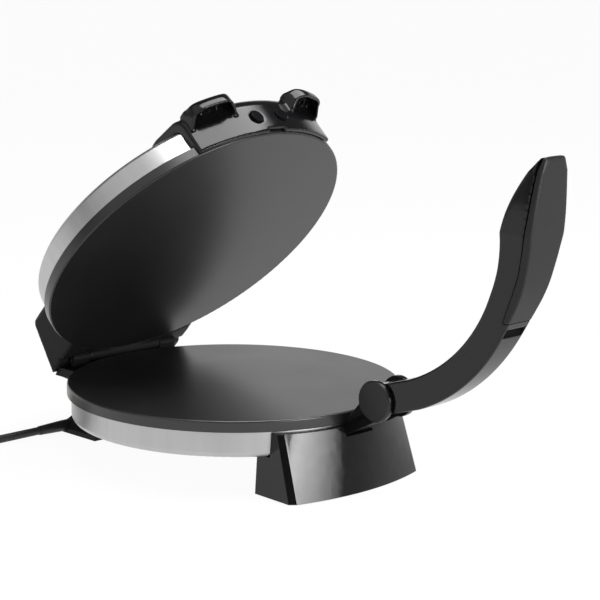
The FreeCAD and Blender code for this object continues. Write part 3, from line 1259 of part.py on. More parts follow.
def plug():
    """Two-blade mains plug lying on its side."""
    middle = coil_y + S.coil_radius
    half, neck, tall = S.plug_half, S.plug_neck, S.plug_half_height
    shoulder = S.plug_back_x + S.plug_shoulder
    plan = padded("plug_plan", "XY_Plane", [
        (S.plug_back_x, middle - neck), (shoulder, middle - half), (S.plug_front_x, middle - half),
        (S.plug_front_x, middle + half), (shoulder, middle + half), (S.plug_back_x, middle + neck)],
        4 * S.plug_half)
    side = padded("plug_side", "XZ_Plane", [
        (S.plug_back_x, S.plug_z - neck), (shoulder, S.plug_z - tall), (S.plug_front_x, S.plug_z - tall),
        (S.plug_front_x, S.plug_z + tall), (shoulder, S.plug_z + tall), (S.plug_back_x, S.plug_z + neck)],
        4 * middle)
    crossed = overlap("plug_crossed", plan, side)
    seats = []
    blades = []
    for tag, side_sign in (("near", -1), ("far", 1)):
        y = middle + S.blade_half * side_sign
        ys = (y - S.blade_thick / 2, y + S.blade_thick / 2)
        zs = (S.plug_z - S.blade_height / 2, S.plug_z + S.blade_height / 2)
        start = S.plug_front_x - S.blade_seat
        seats.append(block(f"blade_seat_{tag}", (start, S.plug_front_x), ys, zs))
        blades.append(block(f"blade_{tag}", (start, S.plug_front_x + S.blade_length), ys, zs))
    subpart("plug_body", cut("plug_body_piece", crossed, *seats), "base")
    subpart("plug_blades", group("plug_blades_piece", *blades), "base")


base_ridge, base_shoulder, base_tip = baking_plate(
    "lower_plate", S.plate_top, -1, S.base_boss_x, S.base_boss_y, shell_low + S.steel_sheet, "base")
heating_element("lower_element", base_ridge, "base")
reflector("lower_reflector", base_shoulder, -1, S.base_boss_x, S.base_boss_y, "base")
plate_screws("lower_plate_screws", shell_low, base_tip, -1, S.base_boss_x, S.base_boss_y, "base")
thermostat("lower_thermostat", S.plate_top - S.plate_web, -1, "base")
base_shell()
front_pedestal()
rear_pedestal()
rubber_pads()
shell_screws()
terminal_block()
lever_yoke()
lever()

screw_seat = lid_shell()
lid_ridge, lid_shoulder, lid_tip = baking_plate(
    "upper_plate", lid_face, 1, S.lid_boss_x, lid_boss_y, screw_seat - S.steel_sheet * 2, "lid")
heating_element("upper_element", lid_ridge, "lid")
reflector("upper_reflector", lid_shoulder, 1, S.lid_boss_x, lid_boss_y, "lid")
plate_screws("lid_screws", screw_seat, lid_tip, 1, S.lid_boss_x, lid_boss_y, "lid")
thermostat("upper_thermostat", lid_face + S.plate_web, 1, "lid")
front_housing()
indicator_lamps()
rear_housing()
strain_relief()
mains_lead()
cord_tie()
plug()

doc.recompute()
faults = [f"{obj.Name} {obj.State}" for obj in doc.Objects if {"Invalid", "Error"} & set(obj.State)]
for node, obj in SUBPARTS.items():
    if obj.Shape.isNull() or not obj.Shape.isValid():
        faults.append(f"{node} has no valid shape")
if faults:
    raise SystemExit("\n".join(faults))
os.makedirs("parts", exist_ok=True)
for node, obj in SUBPARTS.items():
    obj.Shape.exportStep(f"parts/{node}.step")
print(f"{len(SUBPARTS)} sub-parts written")
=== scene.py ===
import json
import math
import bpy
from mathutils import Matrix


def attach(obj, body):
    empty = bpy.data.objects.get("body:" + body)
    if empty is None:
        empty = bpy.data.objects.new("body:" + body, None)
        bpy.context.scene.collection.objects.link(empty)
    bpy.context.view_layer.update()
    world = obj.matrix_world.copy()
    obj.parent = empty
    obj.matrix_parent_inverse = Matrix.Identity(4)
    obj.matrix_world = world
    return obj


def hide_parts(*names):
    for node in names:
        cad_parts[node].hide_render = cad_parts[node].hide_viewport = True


bl_info = {
    "name": "Flatbread maker",
    "version": (1, 0, 0),
    "blender": (4, 5, 0),
    "location": "View3D > Sidebar > Flatbread",
    "description": "Dresses the electric flatbread maker and sets up its studio",
    "category": "Object",
}

import bpy
from bpy.props import FloatProperty, FloatVectorProperty, PointerProperty
from mathutils import Matrix, Vector

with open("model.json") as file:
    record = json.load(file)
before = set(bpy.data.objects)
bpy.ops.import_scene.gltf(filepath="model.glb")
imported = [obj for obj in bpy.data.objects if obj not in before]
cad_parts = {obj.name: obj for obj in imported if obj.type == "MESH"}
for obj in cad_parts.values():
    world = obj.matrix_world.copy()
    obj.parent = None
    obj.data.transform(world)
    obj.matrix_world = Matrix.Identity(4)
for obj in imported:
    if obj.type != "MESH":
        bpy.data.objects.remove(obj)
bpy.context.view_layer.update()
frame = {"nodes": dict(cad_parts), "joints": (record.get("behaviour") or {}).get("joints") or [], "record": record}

BODIES = frame["record"]["behaviour"]["bodies"]
BODY_OF = {node: body for body, nodes in BODIES.items() for node in nodes}

# The lid and its hood, as the CAD has them
LID_HINGE = frame["joints"][0]
HINGE = Vector(LID_HINGE["pos_m"])
LID_OPEN = math.radians(LID_HINGE["range_deg"][1])
TURN_SHUT = Matrix.Rotation(LID_OPEN, 3, "X")
TURN_OPEN = Matrix.Rotation(-LID_OPEN, 3, "X")
PLATE_AXIS_Y = 0.0665
HOOD_RADIUS = 0.1339

# Lift lips: distances past the hood's face, where a change starts or is whole, and heights on the
# shut lid
LIP_ROOT = 0.003
NOSE_OUT = 0.009
NOSE_LEVEL = 0.0897
NOSE_SHARE = 0.5
BROW_OUT = 0.007
BROW_LOW, BROW_HIGH = 0.086, 0.090

# Lever: the cage round its grip, and how far each row of the cage goes forward, wider and higher,
# from the finger slot up to the tip
GRIP_MIDDLE = (0, -0.2165, 0.205)
GRIP_LEAN = math.radians(12.2)
GRIP_CAGE = (0.04, 0.022, 0.115)
GRIP_ROWS = (
    (0, 0, 0),
    (0.0032, 0, 0),
    (0.0048, 0.0002, 0),
    (0.0052, -0.0006, 0),
    (0.0042, 0.0012, 0),
    (0.0015, 0.0018, 0.001),
    (-0.0008, -0.0005, 0.0046),
)
GRIP_LOW, TIP_LOW, TIP_HIGH = 0.195, 0.252, 0.262
SEAM_LOW, SEAM_HIGH = 0.165, 0.185
FINGER_SLOT_Z, FINGER_SLOT_MOUTH_Y = 0.14, -0.2035
FINGER_SLOT_HALF = (0.0104, 0.0033)

# Front pedestal: a place on its flat front corner and the way that it faces, on the right
FOOT_CORNER = ((0.0644, -0.0683, 0.001), (0.64, -0.72, 0.269))

# Fineness of the meshes that mouldings are rounded on
LEVER_GRAIN, HOOD_GRAIN, REAR_GRAIN = 0.0006, 0.0009, 0.0011

# A distance and angles for clearing up a copied CAD mesh
WELD = 0.000002
FLAT_ANGLE = math.radians(0.3)
EDGE_ANGLE = math.radians(34)
FACET_ANGLE = math.radians(12)

# Range that most of a noise pattern lies in
MOST_NOISE = (0.3, 0.7)

# Mains lead: its length, its route before and after the coil, and the coil
LEAD_START = (
    (-0.0855, 0.138 + PLATE_AXIS_Y, 0.0062),
    (-0.1025, 0.138 + PLATE_AXIS_Y, 0.0062),
    (-0.1305, 0.1445 + PLATE_AXIS_Y, 0.004),
)
LEAD_END = (
    (-0.138, 0.2235 + PLATE_AXIS_Y, 0.0109),
    (-0.127, 0.2235 + PLATE_AXIS_Y, 0.0089),
    (-0.118, 0.2235 + PLATE_AXIS_Y, 0.0089),
)
COIL_CENTRE = Vector((-0.154, 0.184 + PLATE_AXIS_Y, 0.004))
COIL_TURNS = 3.5
COIL_STEPS = 16
CLIMB_START, CLIMB_STOP = 1.5, 2.0
# The spline runs inside its points, so these stand a little outside the turns
COIL_STAND_OUT = math.cos(math.pi / COIL_STEPS) ** 0.6

# Studio: the photo's camera and the ways to the bright wall and the window that glossy faces mirror
CAMERA_PLACE = (-0.97141, -0.96573, 0.39657)
CAMERA_FORWARD = (0.69816, 0.69047, -0.18943)
CAMERA_UP = (0.1259, 0.1423, 0.9818)
CAMERA_LENS = 111.48
CAMERA_SENSOR = 36.0
CAMERA_REACH = 50.0
FLOOR_SIZE = 30
FLOOR_GLOW = 0.95
BRIGHT_WALL = (0.77, 0.64, 0)
WINDOW = (-0.78, 0.12, 0.61)


def colour(label, words, value):
    """Colour that a user can change."""
    return FloatVectorProperty(
        name=label, description=words, subtype="COLOR", size=3, min=0, max=1, default=value)


def length(label, words, value):
    """Length that a user can change."""
    return FloatProperty(name=label, description=words, unit="LENGTH", default=value)


def power(label, words, value):
    """Light's power that a user can change."""
    return FloatProperty(name=label, description=words, unit="POWER", default=value)


class FlatbreadFinishes(bpy.types.PropertyGroup):
    """Colours of the appliance's finishes."""

    gloss: colour("Gloss black", "Polished mouldings and lever arm", (0.0045, 0.0045, 0.005))
    satin: colour("Satin black", "Pivot caps, bottom covers and rear mouldings", (0.011, 0.011, 0.012))
    grip: colour("Grip black", "Matte layer on the lever's grip", (0.011, 0.011, 0.012))
    # Recess black is painted shade: a darker, duller black on the finger slot's faces, in place of the shade of a
    # deeper slot
    recess_shade: colour("Recess black", "Inside of the lever's finger slot", (0.0033, 0.0033, 0.0036))
    coat: colour("Non-stick coat", "Dark coat of the baking plates", (0.013, 0.013, 0.0135))
    steel: colour("Brushed steel", "Bands of the two shells", (0.50, 0.50, 0.50))
    rubber: colour("Rubber", "Mains lead, sleeve and pads", (0.014, 0.014, 0.015))
    tie: colour("Tie", "Tie round the coiled lead", (0.02, 0.02, 0.02))
    blade: colour("Plug blades", "Brass of the plug's blades", (0.74, 0.6, 0.33))
    lens: colour("Lens", "Unlit indicator lenses", (0.003, 0.003, 0.0035))
    element: colour("Element", "Sheath of the heating rings", (0.28, 0.27, 0.26))
    reflector: colour("Reflector", "Bright sheets behind the elements", (0.72, 0.72, 0.74))
    fastener: colour("Fastener", "Plated screws", (0.55, 0.55, 0.57))
    pin: colour("Pin", "Steel of the hinge and lever pins", (0.52, 0.52, 0.53))
    bush: colour("Bush", "Brass of the lever's bush", (0.62, 0.47, 0.2))
    insulator: colour("Insulator", "Thermostats and terminal block", (0.66, 0.64, 0.58))
    board: colour("Board", "Lamp board behind the lenses", (0.04, 0.17, 0.07))


class FlatbreadSizes(bpy.types.PropertyGroup):
    """Sizes of what the scene adds."""

    edge: length("Moulded edge", "Softness of moulded edges", 0.0008)
    fine_edge: length("Fine edge", "Softness of sheet edges", 0.0003)
    seam: length("Grip seam", "Depth of the arm's skin below its grip layer", 0.0005)
    lead: length("Lead diameter", "Mains lead", 0.0064)
    coil_radius: length("Coil radius", "Outermost turn", 0.0395)
    coil_pitch: length("Coil pitch", "Spacing of turns", 0.007)
    coil_layer: length("Coil layer", "Spacing of layers", 0.0069)


class FlatbreadStudio(bpy.types.PropertyGroup):
    """Light and floor."""

    floor: colour("Floor", "Pale studio floor", (0.92, 0.92, 0.92))
    overhead: power("Overhead light", "Large soft light above", 43.0)
    strip: power("Strip light", "Soft strip before the foot", 53.0)
    room: FloatProperty(name="Room light", description="Strength of the pale room", default=0.35)


def new_material(name):
    """Node material with its Principled shader."""
    material = bpy.data.materials.new(name)
    material.use_nodes = True
    tree = material.node_tree
    return material, tree, tree.nodes["Principled BSDF"]


def link(tree, source, target):
    """Lead one node's output to another's input."""
    tree.links.new(source, target)


def place_in(tree, lid=False):
    """Object coordinates counted from the plates' axis, turned back to the shut lid if on it."""
    where = tree.nodes.new("ShaderNodeTexCoord")
    turn = tree.nodes.new("ShaderNodeMapping")
    turn.vector_type = "TEXTURE"
    if lid:
        axis = TURN_OPEN @ Vector((0, PLATE_AXIS_Y - HINGE.y, -HINGE.z))
        turn.inputs["Location"].default_value = HINGE + axis
        turn.inputs["Rotation"].default_value = (-LID_OPEN, 0, 0)
    else:
        turn.inputs["Location"].default_value = (0, PLATE_AXIS_Y, 0)
    link(tree, where.outputs["Object"], turn.inputs["Vector"])
    return turn.outputs["Vector"]


def noise(tree, vector, scale, detail=3.0, roughness=0.55):
    """Cloudy pattern with that many clouds to the metre."""
    node = tree.nodes.new("ShaderNodeTexNoise")
    node.inputs["Scale"].default_value = scale
    node.inputs["Detail"].default_value = detail
    node.inputs["Roughness"].default_value = roughness
    link(tree, vector, node.inputs["Vector"])
    return node.outputs["Fac"]


def spread(tree, value, onto, across=(0.0, 1.0)):
    """Map a pattern from one range, across, onto another."""
    node = tree.nodes.new("ShaderNodeMapRange")
    node.inputs["From Min"].default_value, node.inputs["From Max"].default_value = across
    node.inputs["To Min"].default_value, node.inputs["To Max"].default_value = onto
    link(tree, value, node.inputs["Value"])
    return node.outputs["Result"]


def sums(tree, operation, first, second):
    """Join two patterns by a sum of that kind."""
    node = tree.nodes.new("ShaderNodeMath")
    node.operation = operation
    link(tree, first, node.inputs[0])
    link(tree, second, node.inputs[1])
    return node.outputs[0]


def axes(tree, vector):
    """The X, Y and Z of a place."""
    node = tree.nodes.new("ShaderNodeSeparateXYZ")
    link(tree, vector, node.inputs["Vector"])
    return node.outputs["X"], node.outputs["Y"], node.outputs["Z"]


def from_axes(tree, **parts):
    """A place put together from its X, Y or Z, each zero if left out."""
    node = tree.nodes.new("ShaderNodeCombineXYZ")
    for axis, value in parts.items():
        link(tree, value, node.inputs[axis.upper()])
    return node.outputs["Vector"]


def tint(tree, pattern, shader, base, dark, light):
    """Let a pattern blend a darker and a lighter shade of the shader's colour."""
    node = tree.nodes.new("ShaderNodeMix")
    node.data_type = "RGBA"
    for name, factor in (("A", dark), ("B", light)):
        node.inputs[name].default_value = (*(min(1.0, part * factor) for part in base), 1)
    link(tree, pattern, node.inputs["Factor"])
    link(tree, node.outputs["Result"], shader.inputs["Base Color"])


def roughen(tree, pattern, shader, onto, across=MOST_NOISE):
    """Let a pattern set the shader's roughness."""
    link(tree, spread(tree, pattern, onto, across), shader.inputs["Roughness"])


def bump(tree, height, shader, distance, strength, normal=None):
    """Let a pattern raise the shader's surface, over another bump's normal if there is one."""
    node = tree.nodes.new("ShaderNodeBump")
    node.inputs["Distance"].default_value = distance
    node.inputs["Strength"].default_value = strength
    link(tree, height, node.inputs["Height"])
    if normal is not None:
        link(tree, normal, node.inputs["Normal"])
    link(tree, node.outputs["Normal"], shader.inputs["Normal"])
    return node.outputs["Normal"]


def polished_moulding(name, base):
    """Polished moulding: handling haze, fine wiping marks and faint moulding waviness."""
    material, tree, shader = new_material(name)
    where = place_in(tree)
    haze = noise(tree, where, scale=22.0, detail=4.0)
    tint(tree, haze, shader, base, dark=0.7, light=1.5)
    wiped = sums(tree, "MULTIPLY", haze, noise(tree, where, scale=240.0, detail=2.0))
    roughen(tree, wiped, shader, onto=(0.08, 0.19), across=(0.1, 0.5))
    waves = noise(tree, where, scale=45.0, detail=2.0)
    bump(tree, waves, shader, distance=0.00005, strength=0.3)
    shader.inputs["Specular IOR Level"].default_value = 0.35
    return material


def eroded_moulding(name, base, rough, grain, sheen=0.42):
    """Spark-eroded moulding: fine even grain with slightly uneven sheen."""
    material, tree, shader = new_material(name)
    where = place_in(tree)
    cloud = noise(tree, where, scale=35.0, detail=4.0)
    tint(tree, cloud, shader, base, dark=0.75, light=1.4)
    roughen(tree, cloud, shader, onto=(rough - 0.07, rough + 0.07))
    skin = noise(tree, where, scale=grain, detail=3.0, roughness=0.6)
    bump(tree, skin, shader, distance=0.00009, strength=0.5)
    shader.inputs["Specular IOR Level"].default_value = sheen
    return material


def nonstick_coat(name, base, lid, sheen):
    """Sprayed dark coat on a cast plate: fine speckle, turned rings below it and soft mottling."""
    material, tree, shader = new_material(name)
    where = place_in(tree, lid)
    cloud = noise(tree, where, scale=14.0, detail=5.0)
    speck = noise(tree, where, scale=1500.0, detail=2.0, roughness=0.7)
    both = sums(tree, "MULTIPLY", cloud, speck)
    mottled = spread(tree, both, onto=(0.0, 1.0), across=(0.12, 0.42))
    tint(tree, mottled, shader, base, dark=0.75, light=1.3)
    roughen(tree, cloud, shader, onto=(0.28, 0.32))
    x, y, _ = axes(tree, where)
    rings = tree.nodes.new("ShaderNodeTexWave")
    rings.wave_type = "RINGS"
    rings.rings_direction = "SPHERICAL"
    rings.inputs["Scale"].default_value = 190.0
    rings.inputs["Distortion"].default_value = 0.4
    rings.inputs["Detail"].default_value = 2.0
    link(tree, from_axes(tree, x=x, y=y), rings.inputs["Vector"])
    grain = bump(tree, speck, shader, distance=0.00003, strength=0.25)
    bump(tree, rings.outputs["Fac"], shader, distance=0.00001, strength=0.15, normal=grain)
    shader.inputs["Specular IOR Level"].default_value = sheen
    return material


def brushed_sheet(name, base, lid):
    """Steel sheet with fine brushing lines round its circumference and faint smudges, and with wide soft streaks
    round it painted into its colour as reflections.
    """
    material, tree, shader = new_material(name)
    where = place_in(tree, lid)
    x, y, z = axes(tree, where)
    angle = sums(tree, "ARCTAN2", y, x)
    radius = tree.nodes.new("ShaderNodeVectorMath")
    radius.operation = "LENGTH"
    link(tree, from_axes(tree, x=x, y=y), radius.inputs[0])
    along = spread(tree, angle, onto=(0.0, 0.012))
    around = from_axes(tree, x=along, y=radius.outputs["Value"], z=z)
    lines = noise(tree, around, scale=2600.0, detail=3.0, roughness=0.65)
    # Painted reflections: wide soft lighter and darker streaks round the band stand in for things mirrored in the
    # steel
    reflected_streak_noise = noise(tree, from_axes(tree, x=angle), scale=9.0, detail=3.0, roughness=0.6)
    painted_reflections = spread(tree, reflected_streak_noise, onto=(0.0, 0.3), across=MOST_NOISE)
    # The colour blends the real brushing lines with the painted reflection streaks; the smudges' roughness follows
    # both
    brushing_and_reflections = sums(tree, "ADD", spread(tree, lines, onto=(0.0, 0.7)), painted_reflections)
    tint(tree, brushing_and_reflections, shader, base, dark=0.78, light=1.2)
    smudge = sums(tree, "MULTIPLY", brushing_and_reflections, noise(tree, where, scale=26.0, detail=4.0))
    roughen(tree, smudge, shader, onto=(0.3, 0.46), across=(0.12, 0.42))
    bump(tree, lines, shader, distance=0.00003, strength=0.5)
    shader.inputs["Metallic"].default_value = 1.0
    return material


def plain_metal(name, base, rough):
    """Turned or rolled metal with fine drawn marks and dull patches."""
    material, tree, shader = new_material(name)
    where = place_in(tree)
    patch = noise(tree, where, scale=120.0, detail=4.0)
    tint(tree, patch, shader, base, dark=0.75, light=1.15)
    roughen(tree, patch, shader, onto=(rough - 0.08, rough + 0.1))
    marks = noise(tree, where, scale=1800.0, detail=2.0)
    bump(tree, marks, shader, distance=0.00002, strength=0.4)
    shader.inputs["Metallic"].default_value = 1.0
    return material


def bloomed_rubber(name, base):
    """Extruded or moulded rubber: dull bloom and a very fine skin."""
    material, tree, shader = new_material(name)
    where = place_in(tree)
    bloom = noise(tree, where, scale=90.0, detail=4.0)
    tint(tree, bloom, shader, base, dark=0.8, light=1.6)
    roughen(tree, bloom, shader, onto=(0.36, 0.52))
    skin = noise(tree, where, scale=1300.0, detail=2.0)
    bump(tree, skin, shader, distance=0.00004, strength=0.4)
    shader.inputs["Specular IOR Level"].default_value = 0.4
    return material


def smoked_lens(name, base):
    """Smoked, unlit indicator lens with a faint moulded texture inside."""
    material, tree, shader = new_material(name)
    cells = tree.nodes.new("ShaderNodeTexVoronoi")
    cells.inputs["Scale"].default_value = 900.0
    link(tree, place_in(tree), cells.inputs["Vector"])
    depth = cells.outputs["Distance"]
    tint(tree, depth, shader, base, dark=1.0, light=2.5)
    roughen(tree, depth, shader, onto=(0.05, 0.12), across=(0.0, 1.0))
    shader.inputs["Specular IOR Level"].default_value = 0.06
    return material


# Each finish: how it is made, its colour's property and its values
FINISHES = {
    "gloss_black": (polished_moulding, "gloss", {}),
    "satin_black": (eroded_moulding, "satin", {"rough": 0.4, "grain": 900.0}),
    "dull_black": (eroded_moulding, "satin", {"rough": 0.45, "grain": 900.0, "sheen": 0.12}),
    "grip_black": (eroded_moulding, "grip", {"rough": 0.46, "grain": 700.0, "sheen": 0.28}),
    # Painted shade for the faces of the lever's finger slot
    "slot_black": (eroded_moulding, "recess_shade", {"rough": 0.6, "grain": 700.0, "sheen": 0.05}),
    "tie_black": (eroded_moulding, "tie", {"rough": 0.45, "grain": 600.0}),
    "pale_moulding": (eroded_moulding, "insulator", {"rough": 0.5, "grain": 500.0}),
    "board": (eroded_moulding, "board", {"rough": 0.4, "grain": 600.0}),
    "nonstick_lower": (nonstick_coat, "coat", {"lid": False, "sheen": 0.65}),
    "nonstick_upper": (nonstick_coat, "coat", {"lid": True, "sheen": 0.5}),
    "band_steel_base": (brushed_sheet, "steel", {"lid": False}),
    "band_steel_lid": (brushed_sheet, "steel", {"lid": True}),
    "element_steel": (plain_metal, "element", {"rough": 0.45}),
    "reflector_sheet": (plain_metal, "reflector", {"rough": 0.28}),
    "fastener": (plain_metal, "fastener", {"rough": 0.35}),
    "pin_steel": (plain_metal, "pin", {"rough": 0.3}),
    "brass_bush": (plain_metal, "bush", {"rough": 0.35}),
    "blade_brass": (plain_metal, "blade", {"rough": 0.3}),
    "soft_rubber": (bloomed_rubber, "rubber", {}),
    "cord_black": (bloomed_rubber, "rubber", {}),
    "dark_lens": (smoked_lens, "lens", {}),
}
# Finishes made so far, by name
made = {}


def finish(name):
    """Finish of that name, made when a piece first asks for it."""
    if name not in made:
        maker, base, values = FINISHES[name]
        made[name] = maker(name, getattr(bpy.context.scene.flatbread_finishes, base), **values)
    return made[name]


def dress(name, *nodes):
    """Give CAD nodes a finish."""
    for node in nodes:
        slots = frame["nodes"][node].data.materials
        slots.clear()
        slots.append(finish(name))


def take(piece):
    """Make one piece the only one that an operator acts on."""
    bpy.ops.object.select_all(action="DESELECT")
    piece.select_set(True)
    bpy.context.view_layer.objects.active = piece


def shape_with(piece, kind, **values):
    """Add a modifier with those values and apply it."""
    bpy.ops.object.modifier_add(type=kind)
    modifier = piece.modifiers[-1]
    for name, value in values.items():
        setattr(modifier, name, value)
    bpy.ops.object.modifier_apply(modifier=modifier.name)


def joined_copy(node, name):
    """Copy of a CAD node with its triangles joined, which stands for the node in that finish."""
    piece = bpy.data.objects.new(f"{node}_finish", frame["nodes"][node].data.copy())
    bpy.context.scene.collection.objects.link(piece)
    take(piece)
    bpy.ops.object.mode_set(mode="EDIT")
    bpy.ops.mesh.select_all(action="SELECT")
    bpy.ops.mesh.customdata_custom_splitnormals_clear()
    bpy.ops.mesh.remove_doubles(threshold=WELD)
    bpy.ops.object.mode_set(mode="OBJECT")
    piece.data.materials.clear()
    piece.data.materials.append(finish(name))
    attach(piece, BODY_OF[node])
    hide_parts(node)
    return piece


def finished_copy(node, name, edge, crease=EDGE_ANGLE, flats=()):
    """Copy of a CAD node with corners cut flat, plain faces cleared and edges softened."""
    piece = joined_copy(node, name)
    bpy.ops.object.mode_set(mode="EDIT")
    for spot, way in flats:
        bpy.ops.mesh.select_all(action="SELECT")
        bpy.ops.mesh.bisect(plane_co=spot, plane_no=way, use_fill=True, clear_outer=True)
    bpy.ops.mesh.select_all(action="SELECT")
    bpy.ops.mesh.dissolve_limited(angle_limit=FLAT_ANGLE)
    bpy.ops.object.mode_set(mode="OBJECT")
    if edge:
        shape_with(piece, "BEVEL", width=edge, segments=3, limit_method="ANGLE",
                   angle_limit=EDGE_ANGLE)
    bpy.ops.object.shade_smooth_by_angle(angle=crease)
    shape_with(piece, "WEIGHTED_NORMAL", keep_sharp=True)
    return piece


def moulded_copy(node, name, grain, rounds):
    """Copy of a CAD node on a fine even mesh, with its edges and corners rounded off all over."""
    piece = joined_copy(node, name)
    shape_with(piece, "REMESH", mode="VOXEL", voxel_size=grain, adaptivity=0.0)
    shape_with(piece, "SMOOTH", factor=0.5, iterations=rounds)
    bpy.ops.object.shade_smooth()
    return piece


def ramp(value, start, stop):
    """Nought at the start and one at the stop."""
    return (value - start) / (stop - start)


def weigh(piece, share):
    """Vertex group that weighs a piece by a share that a place on it gives, up to one."""
    take(piece)
    group = piece.vertex_groups.new(name="share")
    for spot in piece.data.vertices:
        amount = share(spot.co)
        if amount > 0:
            group.add([spot.index], min(amount, 1.0), "REPLACE")
    return group.name


def round_off(piece, share, rounds):
    """Round a piece off by that share."""
    group = weigh(piece, share)
    shape_with(piece, "SMOOTH", vertex_group=group, factor=0.5, iterations=rounds)
    piece.vertex_groups.clear()


def draw_in(piece, share, depth):
    """Draw a piece's skin in by that share of a depth."""
    group = weigh(piece, share)
    shape_with(piece, "DISPLACE", vertex_group=group, strength=-depth, mid_level=0.0)
    piece.vertex_groups.clear()


def fuller_grip(pieces):
    """Swell the grip's outer face forward, round its flanks and lift its tip, on one leaning cage."""
    bpy.ops.object.add(type="LATTICE", location=GRIP_MIDDLE, rotation=(GRIP_LEAN, 0, 0))
    cage = bpy.context.active_object
    cage.scale = GRIP_CAGE
    lattice = cage.data
    lattice.points_u, lattice.points_v, lattice.points_w = 2, 2, len(GRIP_ROWS)
    lattice.interpolation_type_u = lattice.interpolation_type_v = "KEY_LINEAR"
    for row, (forward, wider, higher) in enumerate(GRIP_ROWS):
        for corner in range(4):
            point = lattice.points[row * 4 + corner]
            side, outer = (-1, 1)[corner % 2], corner < 2
            move = (side * wider, -forward * outer, higher)
            local = Vector([part / size for part, size in zip(move, GRIP_CAGE)])
            point.co_deform = point.co_deform + local
    bpy.context.view_layer.update()
    for piece in pieces:
        take(piece)
        shape_with(piece, "LATTICE", object=cage)
    bpy.data.objects.remove(cage)


def in_finger_slot(spot):
    """Whether a place on the lever's arm lies in its finger slot."""
    half_width, half_height = FINGER_SLOT_HALF
    across = abs(spot.x) < half_width and abs(spot.z - FINGER_SLOT_Z) < half_height
    return across and spot.y < FINGER_SLOT_MOUTH_Y


def shade_recess(piece, name, inside):
    """Give the faces whose middles lie inside a hollow a second finish: a painted shade that stands in for the
    hollow's depth.
    """
    piece.data.materials.append(finish(name))
    for face in piece.data.polygons:
        if inside(face.center):
            face.material_index = 1


def on_shut_lid(spot):
    """Place that a point of the open lid takes when the lid is shut."""
    return TURN_SHUT @ (spot - HINGE) + HINGE


def past_hood(shut):
    """How far a place on the shut lid stands out from the face of the hood."""
    return math.hypot(shut.x, shut.y - PLATE_AXIS_Y) - HOOD_RADIUS


def shorten_noses(piece):
    """Draw the lower edges of the lift lips' noses up toward a level on the shut lid."""
    for spot in piece.data.vertices:
        shut = on_shut_lid(spot.co)
        out = ramp(past_hood(shut), LIP_ROOT, NOSE_OUT)
        if out > 0 and shut.z < NOSE_LEVEL:
            shut.z += (NOSE_LEVEL - shut.z) * NOSE_SHARE * min(out, 1.0)
            spot.co = TURN_OPEN @ (shut - HINGE) + HINGE


def brow(spot):
    """Share by which a place belongs to the brows of the lift lips."""
    shut = on_shut_lid(spot)
    out = ramp(past_hood(shut), LIP_ROOT, BROW_OUT)
    return min(out, ramp(shut.z, BROW_LOW, BROW_HIGH))


class FLATBREAD_OT_plates(bpy.types.Operator):
    """Coat the two baking plates"""

    bl_idname = "flatbread.plates"
    bl_label = "Baking plates"

    def execute(self, context):
        finished_copy("lower_plate", "nonstick_lower", edge=0)
        finished_copy("upper_plate", "nonstick_upper", edge=0)
        return {"FINISHED"}


class FLATBREAD_OT_shells(bpy.types.Operator):
    """Brush the two steel shells"""

    bl_idname = "flatbread.shells"
    bl_label = "Steel shells"

    def execute(self, context):
        finished_copy("base_shell", "band_steel_base", edge=0)
        finished_copy("lid_shell", "band_steel_lid", edge=0)
        return {"FINISHED"}


class FLATBREAD_OT_lever(bpy.types.Operator):
    """Round the press lever and its grip, and finish its yoke and caps"""

    bl_idname = "flatbread.lever"
    bl_label = "Press lever"

    def execute(self, context):
        sizes = context.scene.flatbread_sizes
        finished_copy("lever_yoke", "gloss_black", sizes.edge)
        arm = moulded_copy("lever_arm", "gloss_black", LEVER_GRAIN, rounds=6)
        cover = moulded_copy("grip_cover", "grip_black", LEVER_GRAIN, rounds=3)
        fuller_grip((arm, cover))
        for layer in (arm, cover):
            round_off(layer, lambda spot: ramp(spot.z, GRIP_LOW, TIP_HIGH), rounds=90)
            round_off(layer, lambda spot: ramp(spot.z, TIP_LOW, TIP_HIGH), rounds=480)
        draw_in(arm, lambda spot: ramp(spot.z, SEAM_LOW, SEAM_HIGH), sizes.seam)
        # Painted shade: the finger slot's faces take a darker, duller black than the arm
        shade_recess(arm, "slot_black", in_finger_slot)
        for node in ("pivot_cap_left", "pivot_cap_right"):
            finished_copy(node, "satin_black", sizes.fine_edge)
        return {"FINISHED"}


class FLATBREAD_OT_housings(bpy.types.Operator):
    """Round the hood with its lift lips and the rear housing, and finish the lenses"""

    bl_idname = "flatbread.housings"
    bl_label = "Lid housings"

    def execute(self, context):
        hood = moulded_copy("front_housing", "gloss_black", HOOD_GRAIN, rounds=14)
        shorten_noses(hood)
        round_off(hood, brow, rounds=130)
        moulded_copy("rear_housing", "dull_black", REAR_GRAIN, rounds=10)
        for node in ("power_lens", "ready_lens"):
            finished_copy(node, "dark_lens", context.scene.flatbread_sizes.fine_edge)
        return {"FINISHED"}


class FLATBREAD_OT_pedestals(bpy.types.Operator):
    """Finish the two pedestals with their covers, pads and sleeve"""

    bl_idname = "flatbread.pedestals"
    bl_label = "Pedestals"

    def execute(self, context):
        sizes = context.scene.flatbread_sizes
        corners = [[(x * side, y, z) for x, y, z in FOOT_CORNER] for side in (-1, 1)]
        finished_copy("front_pedestal", "gloss_black", sizes.edge, FACET_ANGLE, corners)
        finished_copy("rear_pedestal", "dull_black", sizes.edge)
        for node in ("front_cover", "rear_cover"):
            finished_copy(node, "satin_black", sizes.fine_edge)
        for node in ("rubber_feet", "strain_relief"):
            finished_copy(node, "soft_rubber", sizes.fine_edge)
        return {"FINISHED"}


